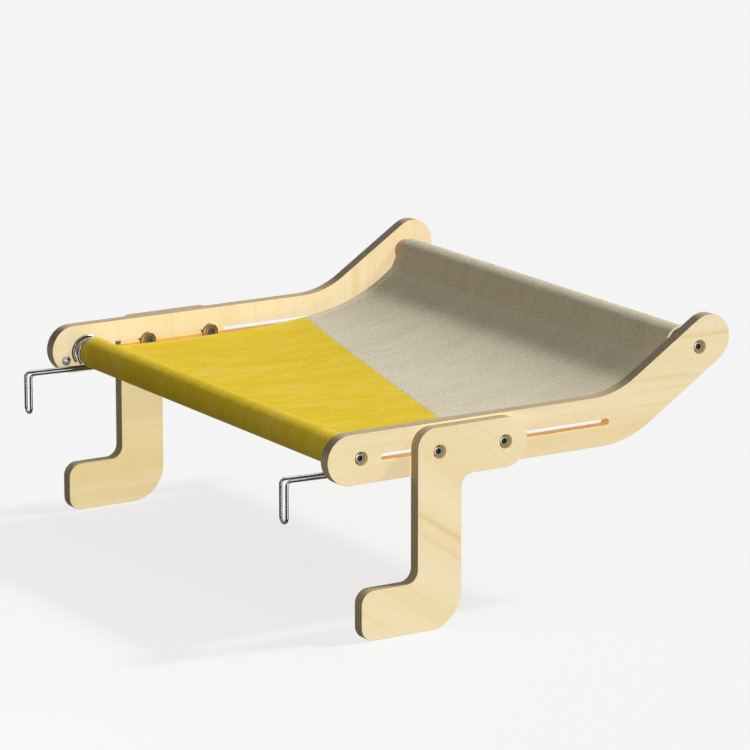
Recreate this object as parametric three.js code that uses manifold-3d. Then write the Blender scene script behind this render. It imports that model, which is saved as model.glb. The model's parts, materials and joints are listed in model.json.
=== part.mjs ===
// A hanging cat bed: two plywood side panels joined by two dowels, with a cloth bed stretched between them.
// A bracket on each side slides along a slot in its panel and reaches round the board that the bed hangs on.
// A wire hook rings each end of the front dowel, and hooks over the front edge of that board.
// Millimetres. +X runs from the hooks to the upturned end, +Y to the left side, +Z up.
// The origin is at mid-width, below the front dowel's axis, on the plane of the panels' undersides.
import * as THREE from "three";
import { mergeVertices } from "three/addons/utils/BufferGeometryUtils.js";
import Module from "manifold-3d";

const wasm = await Module();
wasm.setup();

// Clearance between neighbouring pieces, and how far a cutter runs past the face that it cuts.
const gap = 0.3;
const overrun = 1;

// Side panels: a plywood strip of one width, flat at the front and rising in an arm at the rear.
const plyThickness = 12;
const innerWidth = 500;
const stripWidth = 46.5;
const endMargin = 12; // from a dowel bolt to the centre of the round end beyond it
const bendX = 281; // where the centrelines of flat and arm meet, behind the front dowel
const armAngle = 33; // degrees
const rearBoltReach = 104; // along the arm, from the bend to the rear dowel bolt
const upperBendRadius = 85;
const lowerBendRadius = 100;
const slotStart = 20.5;
const slotEnd = 267;
const slotClearance = 0.2; // between a bolt and the slot, above it and below it
const slotDrop = 1; // below the panel's centreline

// Brackets, measured from the front bracket bolt.
const bracketBoltX = 75; // behind the front dowel, on the right side
const leftBracketLead = 4.5; // the left bracket is clamped this much further forward
const bracketBoltSpacing = 70.5;
const bracketWidth = 46.5;
const bracketDrop = 0.6; // the arm's centreline below its bolts
const legDrop = 141.6; // from the bolts down to the foot's centreline
const footReach = 82.5; // from the bolts forward to the foot's end
const shoulderRadius = 18;
const bracketInnerRadius = 12;
const heelRadius = 34;
const toeRadius = 13;

// Dowels.
const dowelRadius = 11;

// Bolts, washers, inserts and nuts.
const boltRadius = 3;
const boltHeadRim = 2; // by which the head is wider than the shank, in radius
const boltHeadHeight = 4;
const boltHeadChamfer = 0.5;
const boltHeadRecess = 2.6; // below the face of the wood
const keySocketWidth = 4; // across the flats
const keySocketSides = 6;
const keySocketDepth = 2.2;
const boltReachIntoInsert = 12.3;
const boltReachIntoNut = 2;
const washerRim = 1; // by which the washer is wider than the head, in radius
const washerThickness = 1.2;
const counterboreRoom = 0.75; // round the washer
const insertWall = 1.7;
const insertLength = 14;
const nutBossWall = 2.8;
const nutHeight = 4;
const nutFlangeRim = 2.7; // by which the flange is wider than the boss, in radius
const nutFlangeHeight = 1.6;
const nutChamfer = 0.5;

// Wire hooks. Each is one wire: a ring on the dowel, an arm, a drop, and back again.
const wireRadius = 1.5;
const wireSpacing = 10.6; // between the two arms
const wireInset = 4.4; // from the panel's inner face to the nearer arm
const ringSlack = 2.4; // by which the ring's bore is wider than the dowel, in radius
const ringEndAngle = 219; // degrees, counted from +X over +Z
const hookReach = 67.1; // from the ring's centre along the arm to the drop
const hookDrop = 38.6;
const hookBendRadius = 4;
const hookTilt = 1.5; // degrees, by which the arms rise towards the drop

// Stop screws, above the hooks' arms.
const stopScrewReach = 21; // from the ring's centre, along the arm
const stopHeadRadius = 4.65;
const stopHeadHeight = 3.4;
const stopHeadEdge = 1.1; // height of the head's straight side
const stopStandoff = 1.4; // between the panel and the head
const stopShankRadius = 2;
const stopShankCover = 3; // of wood left beyond the shank's point
const stopDomeSteps = 4;
const stopCrossLength = 4.6;
const stopCrossWidth = 1.1;
const stopCrossDepth = 1.3;

// Cloth: one thickness, a sewn pocket round each dowel, and a run that is flat and then rises.
const clothThickness = 1.8;
const pocketSlack = 2.35; // by which the pocket is wider than the dowel, in radius
const pocketTail = 11; // from the round of the pocket to the line of stitching that closes it
const frontPocketSag = 45; // degrees below level, in which the front pocket hangs off its dowel's middle
const rearPocketSag = 15;
const frontPocketRise = 4.9; // degrees above level, from the front pocket's centre to its stitching
const rearPocketDip = 29.5; // degrees below level, from the rear pocket's centre to its stitching
const runFrontDip = 1.4; // degrees below level, where the run leaves the front stitching
const runRearRise = 36.7; // degrees, where it reaches the rear stitching
const runFrontShare = 0.726; // how far each end keeps its own direction, of the run's length
const runRearShare = 0.191;
const runSteps = 16;
const seamLeftX = 241.4; // where the two cloths meet, at the left edge
const seamRightX = 124.2; // and at the right edge

// Fineness of round faces.
const arcStep = 12; // degrees between the points of a small arc
const arcChord = 7; // and the most length between those of a large one
const dowelSides = 40;
const boreSides = 24;
const boltSides = 20;
const wireSides = 8;

// Degrees.
const quarterTurn = 90;
const halfTurn = 2 * quarterTurn;
const fullTurn = 4 * quarterTurn;

// Derived places.
const halfStrip = stripWidth / 2;
const halfInner = innerWidth / 2;
const axisZ = halfStrip;
const rad = THREE.MathUtils.degToRad;
const arm = heading(armAngle);
const frontAxis = new THREE.Vector2(0, axisZ);
const rearAxis = new THREE.Vector2(bendX, axisZ).addScaledVector(arm, rearBoltReach);
const slotZ = axisZ - slotDrop;
const boltHoleRadius = boltRadius + gap;
const boltHeadRadius = boltRadius + boltHeadRim;
const washerRadius = boltHeadRadius + washerRim;
const counterboreRadius = washerRadius + counterboreRoom;
const counterboreDepth = boltHeadRecess + boltHeadHeight + washerThickness + 2 * gap;
const insertRadius = boltHoleRadius + insertWall;
const nutBossRadius = boltHoleRadius + nutBossWall;
const nutRadius = nutBossRadius + nutFlangeRim;
const stopShankLength = plyThickness - stopShankCover;
const ringRadius = dowelRadius + ringSlack + wireRadius;
const ringZ = axisZ - ringSlack + gap; // the ring hangs on the top of the dowel
const stopScrewPlace = new THREE.Vector2(-stopScrewReach, wireRadius + gap + stopHeadRadius - ringRadius)
  .rotateAround(new THREE.Vector2(), -rad(hookTilt))
  .add(new THREE.Vector2(0, ringZ));
const clothHalfWidth = halfInner - wireInset - wireSpacing - wireRadius - gap;
const pocketRadius = dowelRadius + pocketSlack;
const pocketOuterRadius = pocketRadius + clothThickness;
const pocketLength = pocketOuterRadius + pocketTail;

const materials = {
  maple: new THREE.MeshStandardMaterial({ color: 0xf0dfb4, roughness: 0.6, metalness: 0 }),
  dowelWood: new THREE.MeshStandardMaterial({ color: 0xa87a48, roughness: 0.65, metalness: 0 }),
  yellowCloth: new THREE.MeshStandardMaterial({ color: 0xdcc22a, roughness: 0.95, metalness: 0 }),
  greyCloth: new THREE.MeshStandardMaterial({ color: 0xbeb7a0, roughness: 0.95, metalness: 0 }),
  chrome: new THREE.MeshStandardMaterial({ color: 0xc8ccd0, roughness: 0.15, metalness: 1 }),
  darkNickel: new THREE.MeshStandardMaterial({ color: 0x57524c, roughness: 0.35, metalness: 1 }),
  zinc: new THREE.MeshStandardMaterial({ color: 0xb9b6ab, roughness: 0.35, metalness: 1 }),
};

// A closed geometry as a solid that can be joined and cut.
function solidOf(geometry) {
  const bare = geometry.clone();
  bare.deleteAttribute("normal");
  bare.deleteAttribute("uv");
  const merged = mergeVertices(bare);
  const vertProperties = new Float32Array(merged.attributes.position.array);
  const triVerts = new Uint32Array(merged.index.array);
  return new wasm.Manifold(new wasm.Mesh({ numProp: 3, vertProperties, triVerts }));
}

// A solid as a geometry with flat faces.
function geometryOf(solid) {
  const { vertProperties, triVerts } = solid.getMesh();
  const geometry = new THREE.BufferGeometry();
  geometry.setAttribute("position", new THREE.BufferAttribute(vertProperties, 3));
  geometry.setIndex(new THREE.BufferAttribute(triVerts, 1));
  const flat = geometry.toNonIndexed();
  flat.computeVertexNormals();
  return flat;
}

function namedMesh(name, geometry, material) {
  const mesh = new THREE.Mesh(geometry, material);
  mesh.name = name;
  return mesh;
}

// A unit step in a direction in degrees.
function heading(angle) {
  return new THREE.Vector2(Math.cos(rad(angle)), Math.sin(rad(angle)));
}

// Points of an arc round a centre, both ends included, from one angle to another in degrees.
function arcPoints(centre, radius, from, to) {
  const turn = Math.abs(to - from);
  const steps = Math.max(1, Math.round(turn / arcStep), Math.round((rad(turn) * radius) / arcChord));
  const points = [];
  for (let i = 0; i <= steps; i++) {
    points.push(heading(from + ((to - from) * i) / steps).multiplyScalar(radius).add(centre));
  }
  return points;
}

// A closed outline from its corners in counter-clockwise order, each { at, radius }, and each rounded off.
function roundedOutline(corners) {
  const points = [];
  corners.forEach(({ at, radius }, i) => {
    const before = corners.at(i - 1).at;
    const after = corners[(i + 1) % corners.length].at;
    const into = at.clone().sub(before).normalize();
    const out = after.clone().sub(at).normalize();
    const turn = Math.atan2(into.cross(out), into.dot(out));
    const side = Math.sign(turn);
    const start = at.clone().addScaledVector(into, -radius * Math.tan(Math.abs(turn) / 2));
    const centre = start.clone().add(new THREE.Vector2(-into.y, into.x).multiplyScalar(side * radius));
    const from = THREE.MathUtils.radToDeg(Math.atan2(start.y - centre.y, start.x - centre.x));
    points.push(...arcPoints(centre, radius, from, from + THREE.MathUtils.radToDeg(turn)));
  });
  // Where two arcs meet, their common point is kept once.
  return points.filter((p, i) => p.distanceTo(points.at(i - 1)) > gap);
}

// A plate with an outline in X and Z, from y = 0 outwards to side * thickness.
function plateSolid(outline, thickness, side) {
  const geometry = new THREE.ExtrudeGeometry(new THREE.Shape(outline), {
    depth: thickness,
    bevelEnabled: false,
  });
  geometry.rotateX(Math.PI / 2);
  if (side > 0) geometry.translate(0, thickness, 0);
  return solidOf(geometry);
}

// A round cutter along Y at a place in X and Z, between two depths measured outwards from y = 0.
function boreSolid(radius, place, from, to, side) {
  const geometry = new THREE.CylinderGeometry(radius, radius, to - from, boreSides);
  geometry.translate(place.x, (side * (from + to)) / 2, place.y);
  return solidOf(geometry);
}

// A bolt hole through a plate, with the counterbore for its head in the outer face.
function counterboredHole(solid, place, thickness, side) {
  const hole = boreSolid(boltHoleRadius, place, -overrun, thickness, side);
  const floor = thickness - counterboreDepth;
  const counterbore = boreSolid(counterboreRadius, place, floor, thickness + overrun, side);
  return solid.subtract(hole).subtract(counterbore);
}

// Side panel. Its origin is on the inner face.
function sidePanelGeometry(side) {
  const across = new THREE.Vector2(-arm.y, arm.x);
  const bendShift = halfStrip * Math.tan(rad(armAngle / 2));
  const frontX = -endMargin - halfStrip;
  const tip = rearAxis.clone().addScaledVector(arm, endMargin + halfStrip);
  const outline = roundedOutline([
    { at: new THREE.Vector2(frontX, axisZ - halfStrip), radius: halfStrip },
    { at: new THREE.Vector2(bendX + bendShift, axisZ - halfStrip), radius: lowerBendRadius },
    { at: tip.clone().addScaledVector(across, -halfStrip), radius: halfStrip },
    { at: tip.clone().addScaledVector(across, halfStrip), radius: halfStrip },
    { at: new THREE.Vector2(bendX - bendShift, axisZ + halfStrip), radius: upperBendRadius },
    { at: new THREE.Vector2(frontX, axisZ + halfStrip), radius: halfStrip },
  ]);
  let solid = plateSolid(outline, plyThickness, side);
  solid = counterboredHole(solid, frontAxis, plyThickness, side);
  solid = counterboredHole(solid, rearAxis, plyThickness, side);
  const slotRadius = boltRadius + slotClearance;
  const slotOutline = [
    ...arcPoints(new THREE.Vector2(slotEnd - slotRadius, slotZ), slotRadius, -quarterTurn, quarterTurn),
    ...arcPoints(new THREE.Vector2(slotStart + slotRadius, slotZ), slotRadius, quarterTurn, 3 * quarterTurn),
  ];
  const slot = plateSolid(slotOutline, plyThickness + 2 * overrun, side).translate(0, -side * overrun, 0);
  const screwHoleEnd = stopShankLength + gap;
  const screwHole = boreSolid(stopShankRadius + gap, stopScrewPlace, -overrun, screwHoleEnd, side);
  return geometryOf(solid.subtract(slot).subtract(screwHole));
}

// Bracket. Its origin is at the front bolt, on the face towards the panel.
function bracketGeometry(side) {
  const half = bracketWidth / 2;
  const armTop = half - bracketDrop;
  const armBottom = armTop - bracketWidth;
  const footTop = half - legDrop;
  const footBottom = footTop - bracketWidth;
  const corner = (x, z, radius) => ({ at: new THREE.Vector2(x, z), radius });
  const outline = roundedOutline([
    corner(-footReach, footBottom, toeRadius),
    corner(half, footBottom, heelRadius),
    corner(half, armBottom, bracketInnerRadius),
    corner(bracketBoltSpacing + half, armBottom, half),
    corner(bracketBoltSpacing + half, armTop, half),
    corner(-half, armTop, shoulderRadius),
    corner(-half, footTop, bracketInnerRadius),
    corner(-footReach, footTop, toeRadius),
  ]);
  let solid = plateSolid(outline, plyThickness, side);
  solid = counterboredHole(solid, new THREE.Vector2(0, 0), plyThickness, side);
  solid = counterboredHole(solid, new THREE.Vector2(bracketBoltSpacing, 0), plyThickness, side);
  return geometryOf(solid);
}

// Dowel along Y, centred on its origin, with a blind hole in each end for a threaded insert.
function dowelGeometry() {
  const length = innerWidth - 2 * gap;
  let solid = solidOf(new THREE.CylinderGeometry(dowelRadius, dowelRadius, length, dowelSides));
  const holeRadius = insertRadius + gap;
  const holeDepth = insertLength + gap;
  for (const side of [-1, 1]) {
    const hole = new THREE.CylinderGeometry(holeRadius, holeRadius, holeDepth + overrun, boreSides);
    hole.translate(0, (side * (length - holeDepth + overrun)) / 2, 0);
    solid = solid.subtract(solidOf(hole));
  }
  return geometryOf(solid);
}

// Turned pieces stand on z = 0 with their axis along +Z.
function turned(profile, sides) {
  const points = profile.map(([r, z]) => new THREE.Vector2(r, z));
  const geometry = new THREE.LatheGeometry(points, sides);
  return geometry.rotateX(Math.PI / 2);
}

function ringGeometry(inner, outer, height) {
  const profile = [
    [inner, 0],
    [outer, 0],
    [outer, height],
    [inner, height],
    [inner, 0],
  ];
  return turned(profile, boreSides);
}

// Socket-head bolt: the shank below z = 0, the head above it with a hexagonal key socket.
function boltGeometry(length) {
  const profile = [
    [0, -length],
    [boltRadius - boltHeadChamfer, -length],
    [boltRadius, -length + boltHeadChamfer],
    [boltRadius, 0],
    [boltHeadRadius, 0],
    [boltHeadRadius, boltHeadHeight - boltHeadChamfer],
    [boltHeadRadius - boltHeadChamfer, boltHeadHeight],
    [0, boltHeadHeight],
  ];
  const cornerRadius = keySocketWidth / 2 / Math.cos(Math.PI / keySocketSides);
  const cutDepth = keySocketDepth + overrun;
  const socket = new THREE.CylinderGeometry(cornerRadius, cornerRadius, cutDepth, keySocketSides);
  socket.rotateX(Math.PI / 2);
  socket.translate(0, 0, boltHeadHeight + (overrun - keySocketDepth) / 2);
  return geometryOf(solidOf(turned(profile, boltSides)).subtract(solidOf(socket)));
}

// Flanged round nut: a flange with a raised boss round the bore.
function nutGeometry() {
  const profile = [
    [boltHoleRadius, 0],
    [nutRadius, 0],
    [nutRadius, nutFlangeHeight - nutChamfer],
    [nutRadius - nutChamfer, nutFlangeHeight],
    [nutBossRadius, nutFlangeHeight],
    [nutBossRadius, nutHeight - nutChamfer],
    [nutBossRadius - nutChamfer, nutHeight],
    [boltHoleRadius, nutHeight],
    [boltHoleRadius, 0],
  ];
  return turned(profile, boltSides);
}

// Pan-head screw with a cross recess: the shank below z = 0, the head above it.
function stopScrewGeometry() {
  const shankEnd = -stopStandoff - stopShankLength;
  const domeHeight = stopHeadHeight - stopHeadEdge;
  const domeRadius = (stopHeadRadius ** 2 + domeHeight ** 2) / (2 * domeHeight);
  const domeAngle = Math.asin(stopHeadRadius / domeRadius);
  const profile = [
    [0, shankEnd],
    [stopShankRadius, shankEnd + stopShankRadius],
    [stopShankRadius, 0],
    [stopHeadRadius, 0],
  ];
  for (let i = 0; i < stopDomeSteps; i++) {
    const angle = domeAngle * (1 - i / stopDomeSteps);
    profile.push([domeRadius * Math.sin(angle), stopHeadHeight - domeRadius * (1 - Math.cos(angle))]);
  }
  profile.push([0, stopHeadHeight]);
  let solid = solidOf(turned(profile, boltSides));
  for (const turn of [0, quarterTurn]) {
    const slot = new THREE.BoxGeometry(stopCrossLength, stopCrossWidth, stopCrossDepth + overrun);
    slot.rotateZ(rad(turn));
    slot.translate(0, 0, stopHeadHeight + (overrun - stopCrossDepth) / 2);
    solid = solid.subtract(solidOf(slot));
  }
  return geometryOf(solid);
}

// A path through chosen stations, one tube section at each.
class StationPath extends THREE.Curve {
  constructor(stations) {
    super();
    this.stations = stations;
  }

  getPoint(t, target = new THREE.Vector3()) {
    const last = this.stations.length - 1;
    const place = Math.min(Math.max(t, 0), 1) * last;
    const index = Math.min(Math.floor(place), last - 1);
    return target.lerpVectors(this.stations[index], this.stations[index + 1], place - index);
  }

  getUtoTmapping(u) {
    return u;
  }
}

// Wire hook. Its origin is at the rings' centre, midway between its two wires.
function hookGeometry() {
  const half = wireSpacing / 2;
  const bend = new THREE.Vector2(hookBendRadius - hookReach, -ringRadius - hookBendRadius);
  // One half of the wire, from the ring's end to the drop, in X and Z.
  const halfWire = [
    ...arcPoints(new THREE.Vector2(), ringRadius, ringEndAngle, -quarterTurn),
    ...arcPoints(bend, hookBendRadius, quarterTurn, halfTurn + hookTilt),
  ];
  // The drop stands upright once the hook is tilted. A bow at its foot joins the halves.
  const drop = heading(hookTilt - quarterTurn);
  const bowPlace = halfWire.at(-1).clone().addScaledVector(drop, hookDrop - hookBendRadius - half);
  const bow = arcPoints(new THREE.Vector2(), half, 0, halfTurn).map((p) => {
    const place = bowPlace.clone().addScaledVector(drop, p.y);
    return new THREE.Vector3(place.x, p.x, place.y);
  });
  const stations = [
    ...halfWire.map((p) => new THREE.Vector3(p.x, half, p.y)),
    ...bow,
    ...halfWire.reverse().map((p) => new THREE.Vector3(p.x, -half, p.y)),
  ];
  const section = new THREE.Shape();
  for (let i = 0; i < wireSides; i++) {
    const point = heading((fullTurn * i) / wireSides).multiplyScalar(wireRadius);
    section[i ? "lineTo" : "moveTo"](point.x, point.y);
  }
  return new THREE.ExtrudeGeometry(section, {
    steps: stations.length - 1,
    extrudePath: new StationPath(stations),
  });
}

// The two cloths as one solid, in the bed's own frame.
function clothSolid() {
  const width = 2 * clothHalfWidth;
  const extruded = (outline, holes = []) => {
    const shape = new THREE.Shape(outline);
    shape.holes = holes.map((points) => new THREE.Path(points));
    const geometry = new THREE.ExtrudeGeometry(shape, { depth: width, bevelEnabled: false });
    geometry.rotateX(Math.PI / 2);
    geometry.translate(0, clothHalfWidth, 0);
    return solidOf(geometry);
  };
  // A sewn pocket: a round loop drawn out to its line of stitching.
  const pocket = (axis, sag, towards) => {
    const centre = axis.clone().addScaledVector(heading(sag), pocketSlack - gap);
    const tangent = THREE.MathUtils.radToDeg(Math.acos(pocketOuterRadius / pocketLength));
    const stitching = centre.clone().addScaledVector(heading(towards), pocketLength);
    const roundEnd = towards + fullTurn - tangent;
    const round = arcPoints(centre, pocketOuterRadius, towards + tangent, roundEnd);
    const outer = [...round, stitching];
    const innerShare = pocketRadius / pocketOuterRadius;
    const inner = outer.map((p) => p.clone().sub(centre).multiplyScalar(innerShare).add(centre));
    return { solid: extruded(outer, [inner]), stitching };
  };
  const front = pocket(frontAxis, -frontPocketSag, frontPocketRise);
  const rear = pocket(rearAxis, halfTurn + rearPocketSag, halfTurn + rearPocketDip);

  // The run's middle line leaves each stitching in its own direction.
  const length = front.stitching.distanceTo(rear.stitching);
  const middle = new THREE.CubicBezierCurve(
    front.stitching,
    front.stitching.clone().addScaledVector(heading(-runFrontDip), length * runFrontShare),
    rear.stitching.clone().addScaledVector(heading(runRearRise), -length * runRearShare),
    rear.stitching,
  );
  // The edges of the cloth's thickness, sunk a little way into the solid tip of each pocket.
  const edge = (offset) => {
    const points = middle.getPoints(runSteps).map((p, i) => {
      const along = middle.getTangent(i / runSteps);
      return p.clone().add(new THREE.Vector2(-along.y, along.x).multiplyScalar(offset));
    });
    points.unshift(points[0].clone().addScaledVector(heading(-runFrontDip), -clothThickness));
    points.push(points.at(-1).clone().addScaledVector(heading(runRearRise), clothThickness));
    return points;
  };
  const run = extruded([...edge(-clothThickness / 2), ...edge(clothThickness / 2).reverse()]);
  return front.solid.add(run).add(rear.solid);
}

// Everything on one side of the seam between the two cloths, as a cutter.
function besideSeam(side) {
  const length = 4 * innerWidth;
  const seamAngle = Math.atan2(seamRightX - seamLeftX, 2 * clothHalfWidth);
  const block = new THREE.BoxGeometry(length, length, length);
  block.translate((side * (length + gap)) / 2, 0, 0);
  block.rotateZ(seamAngle);
  block.translate((seamLeftX + seamRightX) / 2, 0, 0);
  return solidOf(block);
}

const bed = new THREE.Group();

const cloth = clothSolid();
bed.add(namedMesh("front_cloth", geometryOf(cloth.intersect(besideSeam(-1))), materials.yellowCloth));
bed.add(namedMesh("rear_cloth", geometryOf(cloth.intersect(besideSeam(1))), materials.greyCloth));

const dowelAxes = { front: frontAxis, rear: rearAxis };
for (const [end, axis] of Object.entries(dowelAxes)) {
  const dowel = namedMesh(end + "_dowel", dowelGeometry(), materials.dowelWood);
  dowel.position.set(axis.x, 0, axis.y);
  bed.add(dowel);
}

// A fastener in a side's frame, turned outwards or inwards, at a place in X and Z and a depth outwards.
function fastener(name, geometry, material, side, facing, place, depth) {
  const mesh = namedMesh(name, geometry, material);
  mesh.rotation.x = (-side * facing * Math.PI) / 2;
  mesh.position.set(place.x, side * depth, place.y);
  return mesh;
}

const outwards = 1;
const inwards = -1;

for (const [hand, side] of [
  ["left", 1],
  ["right", -1],
]) {
  const sideFrame = new THREE.Group();
  sideFrame.position.y = side * halfInner;
  bed.add(sideFrame);

  sideFrame.add(namedMesh(hand + "_side_panel", sidePanelGeometry(side), materials.maple));

  // Dowel bolts, washers and inserts.
  for (const [end, axis] of Object.entries(dowelAxes)) {
    const name = hand + "_" + end + "_dowel_";
    const washer = ringGeometry(boltHoleRadius, washerRadius, washerThickness);
    const insert = ringGeometry(boltHoleRadius, insertRadius, insertLength);
    const headDepth = plyThickness - boltHeadRecess - boltHeadHeight;
    const washerDepth = headDepth - gap - washerThickness;
    const bolt = boltGeometry(headDepth + boltReachIntoInsert);
    sideFrame.add(fastener(name + "washer", washer, materials.zinc, side, outwards, axis, washerDepth));
    sideFrame.add(fastener(name + "bolt", bolt, materials.chrome, side, outwards, axis, headDepth));
    sideFrame.add(fastener(name + "insert", insert, materials.zinc, side, inwards, axis, -gap));
  }

  // Stop screw.
  const stopName = hand + "_stop_screw";
  const stopDepth = -stopStandoff;
  const stopScrew = stopScrewGeometry();
  sideFrame.add(fastener(stopName, stopScrew, materials.chrome, side, inwards, stopScrewPlace, stopDepth));

  // Bracket with its bolts, washers and nuts, in a frame at its front bolt.
  const bracketFrame = new THREE.Group();
  const lead = side > 0 ? leftBracketLead : 0;
  bracketFrame.position.set(bracketBoltX - lead, 0, slotZ);
  sideFrame.add(bracketFrame);
  const bracket = namedMesh(hand + "_bracket", bracketGeometry(side), materials.maple);
  bracket.position.y = side * (plyThickness + gap);
  bracketFrame.add(bracket);
  for (const [end, x] of [
    ["front", 0],
    ["rear", bracketBoltSpacing],
  ]) {
    const name = hand + "_" + end + "_bracket_";
    const place = new THREE.Vector2(x, 0);
    const headDepth = 2 * plyThickness + gap - boltHeadRecess - boltHeadHeight;
    const washerDepth = headDepth - gap - washerThickness;
    const washer = ringGeometry(boltHoleRadius, washerRadius, washerThickness);
    const bolt = boltGeometry(headDepth + gap + boltReachIntoNut);
    const nut = nutGeometry();
    bracketFrame.add(fastener(name + "washer", washer, materials.zinc, side, outwards, place, washerDepth));
    bracketFrame.add(fastener(name + "bolt", bolt, materials.chrome, side, outwards, place, headDepth));
    bracketFrame.add(fastener(name + "nut", nut, materials.darkNickel, side, inwards, place, -gap));
  }

  // Wire hook.
  const hook = namedMesh(hand + "_hook", hookGeometry(), materials.chrome);
  hook.position.set(0, -side * (wireInset + wireSpacing / 2), ringZ);
  hook.rotation.y = rad(hookTilt);
  sideFrame.add(hook);
}

export default bed;
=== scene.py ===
"""The looks of a hanging cat bed: plywood, dowels, cloth, wire hooks and fasteners, on a plain stage.

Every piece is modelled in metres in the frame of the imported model: +X from the hooks to the upturned
end, +Y to the left side, +Z up, with the origin below the front dowel at mid-width.
"""

import math
import json

import bmesh
import bpy
from bpy.props import FloatProperty, FloatVectorProperty, IntProperty, PointerProperty
from mathutils import Color, Matrix, Vector, noise


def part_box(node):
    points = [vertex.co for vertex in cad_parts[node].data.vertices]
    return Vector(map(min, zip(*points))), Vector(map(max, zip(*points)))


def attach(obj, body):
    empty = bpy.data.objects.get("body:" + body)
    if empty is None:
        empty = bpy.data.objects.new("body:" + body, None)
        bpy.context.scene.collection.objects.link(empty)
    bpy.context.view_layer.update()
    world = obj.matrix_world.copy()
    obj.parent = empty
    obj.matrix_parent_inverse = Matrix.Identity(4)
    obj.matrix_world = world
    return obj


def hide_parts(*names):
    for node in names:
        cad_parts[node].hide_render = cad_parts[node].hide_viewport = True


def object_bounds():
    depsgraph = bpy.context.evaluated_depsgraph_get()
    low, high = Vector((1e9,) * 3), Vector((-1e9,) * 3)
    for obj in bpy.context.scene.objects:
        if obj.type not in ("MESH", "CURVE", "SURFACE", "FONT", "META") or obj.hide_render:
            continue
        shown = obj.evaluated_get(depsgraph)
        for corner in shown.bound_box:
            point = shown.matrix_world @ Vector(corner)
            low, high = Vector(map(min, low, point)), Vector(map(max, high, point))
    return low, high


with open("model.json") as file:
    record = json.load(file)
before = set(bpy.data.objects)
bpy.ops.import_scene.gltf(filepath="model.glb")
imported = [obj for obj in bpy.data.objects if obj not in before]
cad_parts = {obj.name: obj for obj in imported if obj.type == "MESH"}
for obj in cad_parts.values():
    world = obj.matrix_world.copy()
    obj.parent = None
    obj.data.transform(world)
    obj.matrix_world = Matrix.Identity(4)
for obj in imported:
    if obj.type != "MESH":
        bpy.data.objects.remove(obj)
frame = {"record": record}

bl_info = {
    "name": "Hanging Cat Bed",
    "version": (1, 0, 0),
    "blender": (4, 5, 0),
    "location": "3D View > Sidebar > Cat Bed",
    "description": "Models the finished pieces of a hanging cat bed round its packed parts",
    "category": "Add Mesh",
}

CAD_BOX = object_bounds()
BODY_OF = {node: body for body, nodes in frame["record"]["behaviour"]["bodies"].items() for node in nodes}
HANDS = {"left": 1, "right": -1}
ENDS = ("front", "rear")
ALONG_Y = Matrix.Rotation(math.radians(-90), 4, "X")  # turns +Z to +Y

# Into how many steps or sides round shapes are divided.
EASE_STEPS, DOME_STEPS, SCREW_DOME_STEPS = 3, 8, 12
HOLE_SIDES, SCREW_HOLE_SIDES, DOWEL_SIDES, WIRE_SIDES = 48, 32, 96, 20
RING_STEPS, BEND_STEPS, BOW_STEPS = 72, 12, 24
PATH_STEPS, POCKET_STEPS, FLANK_STEPS, TAIL_STEPS = 400, 44, 8, 4
RUN_STEPS, COLUMNS = 72, 96
STITCH_SIDES, STITCH_RINGS = 6, 4
SLOT_ARC_STEP = math.radians(10)

# Turn between two faces from which an edge shows, in degrees.
TURNED_SHARP, PLATE_SHARP, SCREW_SHARP, CLOTH_SHARP = 40, 12, 35, 80

CORNER = math.radians(60)  # an edge that turns further is eased
IN_LINE = math.radians(0.5)  # faces that turn less lie in one plane
FACING_SHARE = 0.9  # how squarely a face looks along Y where it is veneer
CORNER_SHARE = 0.3  # where the middle of an eased corner lies in its depth
TOUCHING = 1e-6  # metres within which points are one
OVERRUN = 0.001  # metres that a cutter reaches past what it cuts

# Frequency of the waves in the cloth along X and Y, and where in the noise they are taken.
WAVES_ALONG, WAVES_ACROSS, WAVES_AT = 9, 26, 3.7

# The curve by which a screen shows linear values, for colours of 0 to 255.
SCREEN_OFFSET, SCREEN_POWER, SCREEN_SLOPE, SCREEN_TOE, SCREEN_FULL = 0.055, 2.4, 12.92, 10, 255


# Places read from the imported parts


def middle(node):
    low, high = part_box(node)
    return (Vector(low) + Vector(high)) / 2


def extent(node):
    low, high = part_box(node)
    return Vector(high) - Vector(low)


def axis_at(node):
    """A node's middle, brought to mid-width."""
    place = middle(node)
    return Vector((place.x, 0, place.z))


# Sizes and colours


def length(name, default, description):
    kind = {"subtype": "DISTANCE", "unit": "LENGTH"}
    return FloatProperty(name=name, default=default, description=description, **kind)


def turn(name, default, description):
    """An angle given in degrees."""
    kind = {"subtype": "ANGLE", "unit": "ROTATION"}
    return FloatProperty(name=name, default=math.radians(default), description=description, **kind)


def share(name, default, description):
    return FloatProperty(name=name, default=default, description=description, subtype="FACTOR")


def count(name, default, description):
    return IntProperty(name=name, default=default, description=description)


def linear_value(level):
    share_of_full = level / SCREEN_FULL
    if level <= SCREEN_TOE:
        return share_of_full / SCREEN_SLOPE
    return ((share_of_full + SCREEN_OFFSET) / (1 + SCREEN_OFFSET)) ** SCREEN_POWER


def colour(name, default, description):
    """A colour given as it looks on a screen, kept as the linear values that materials use."""
    linear = [linear_value(level) for level in default]
    return FloatVectorProperty(
        name=name, default=linear, description=description, subtype="COLOR", size=3, min=0, max=1
    )


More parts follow.
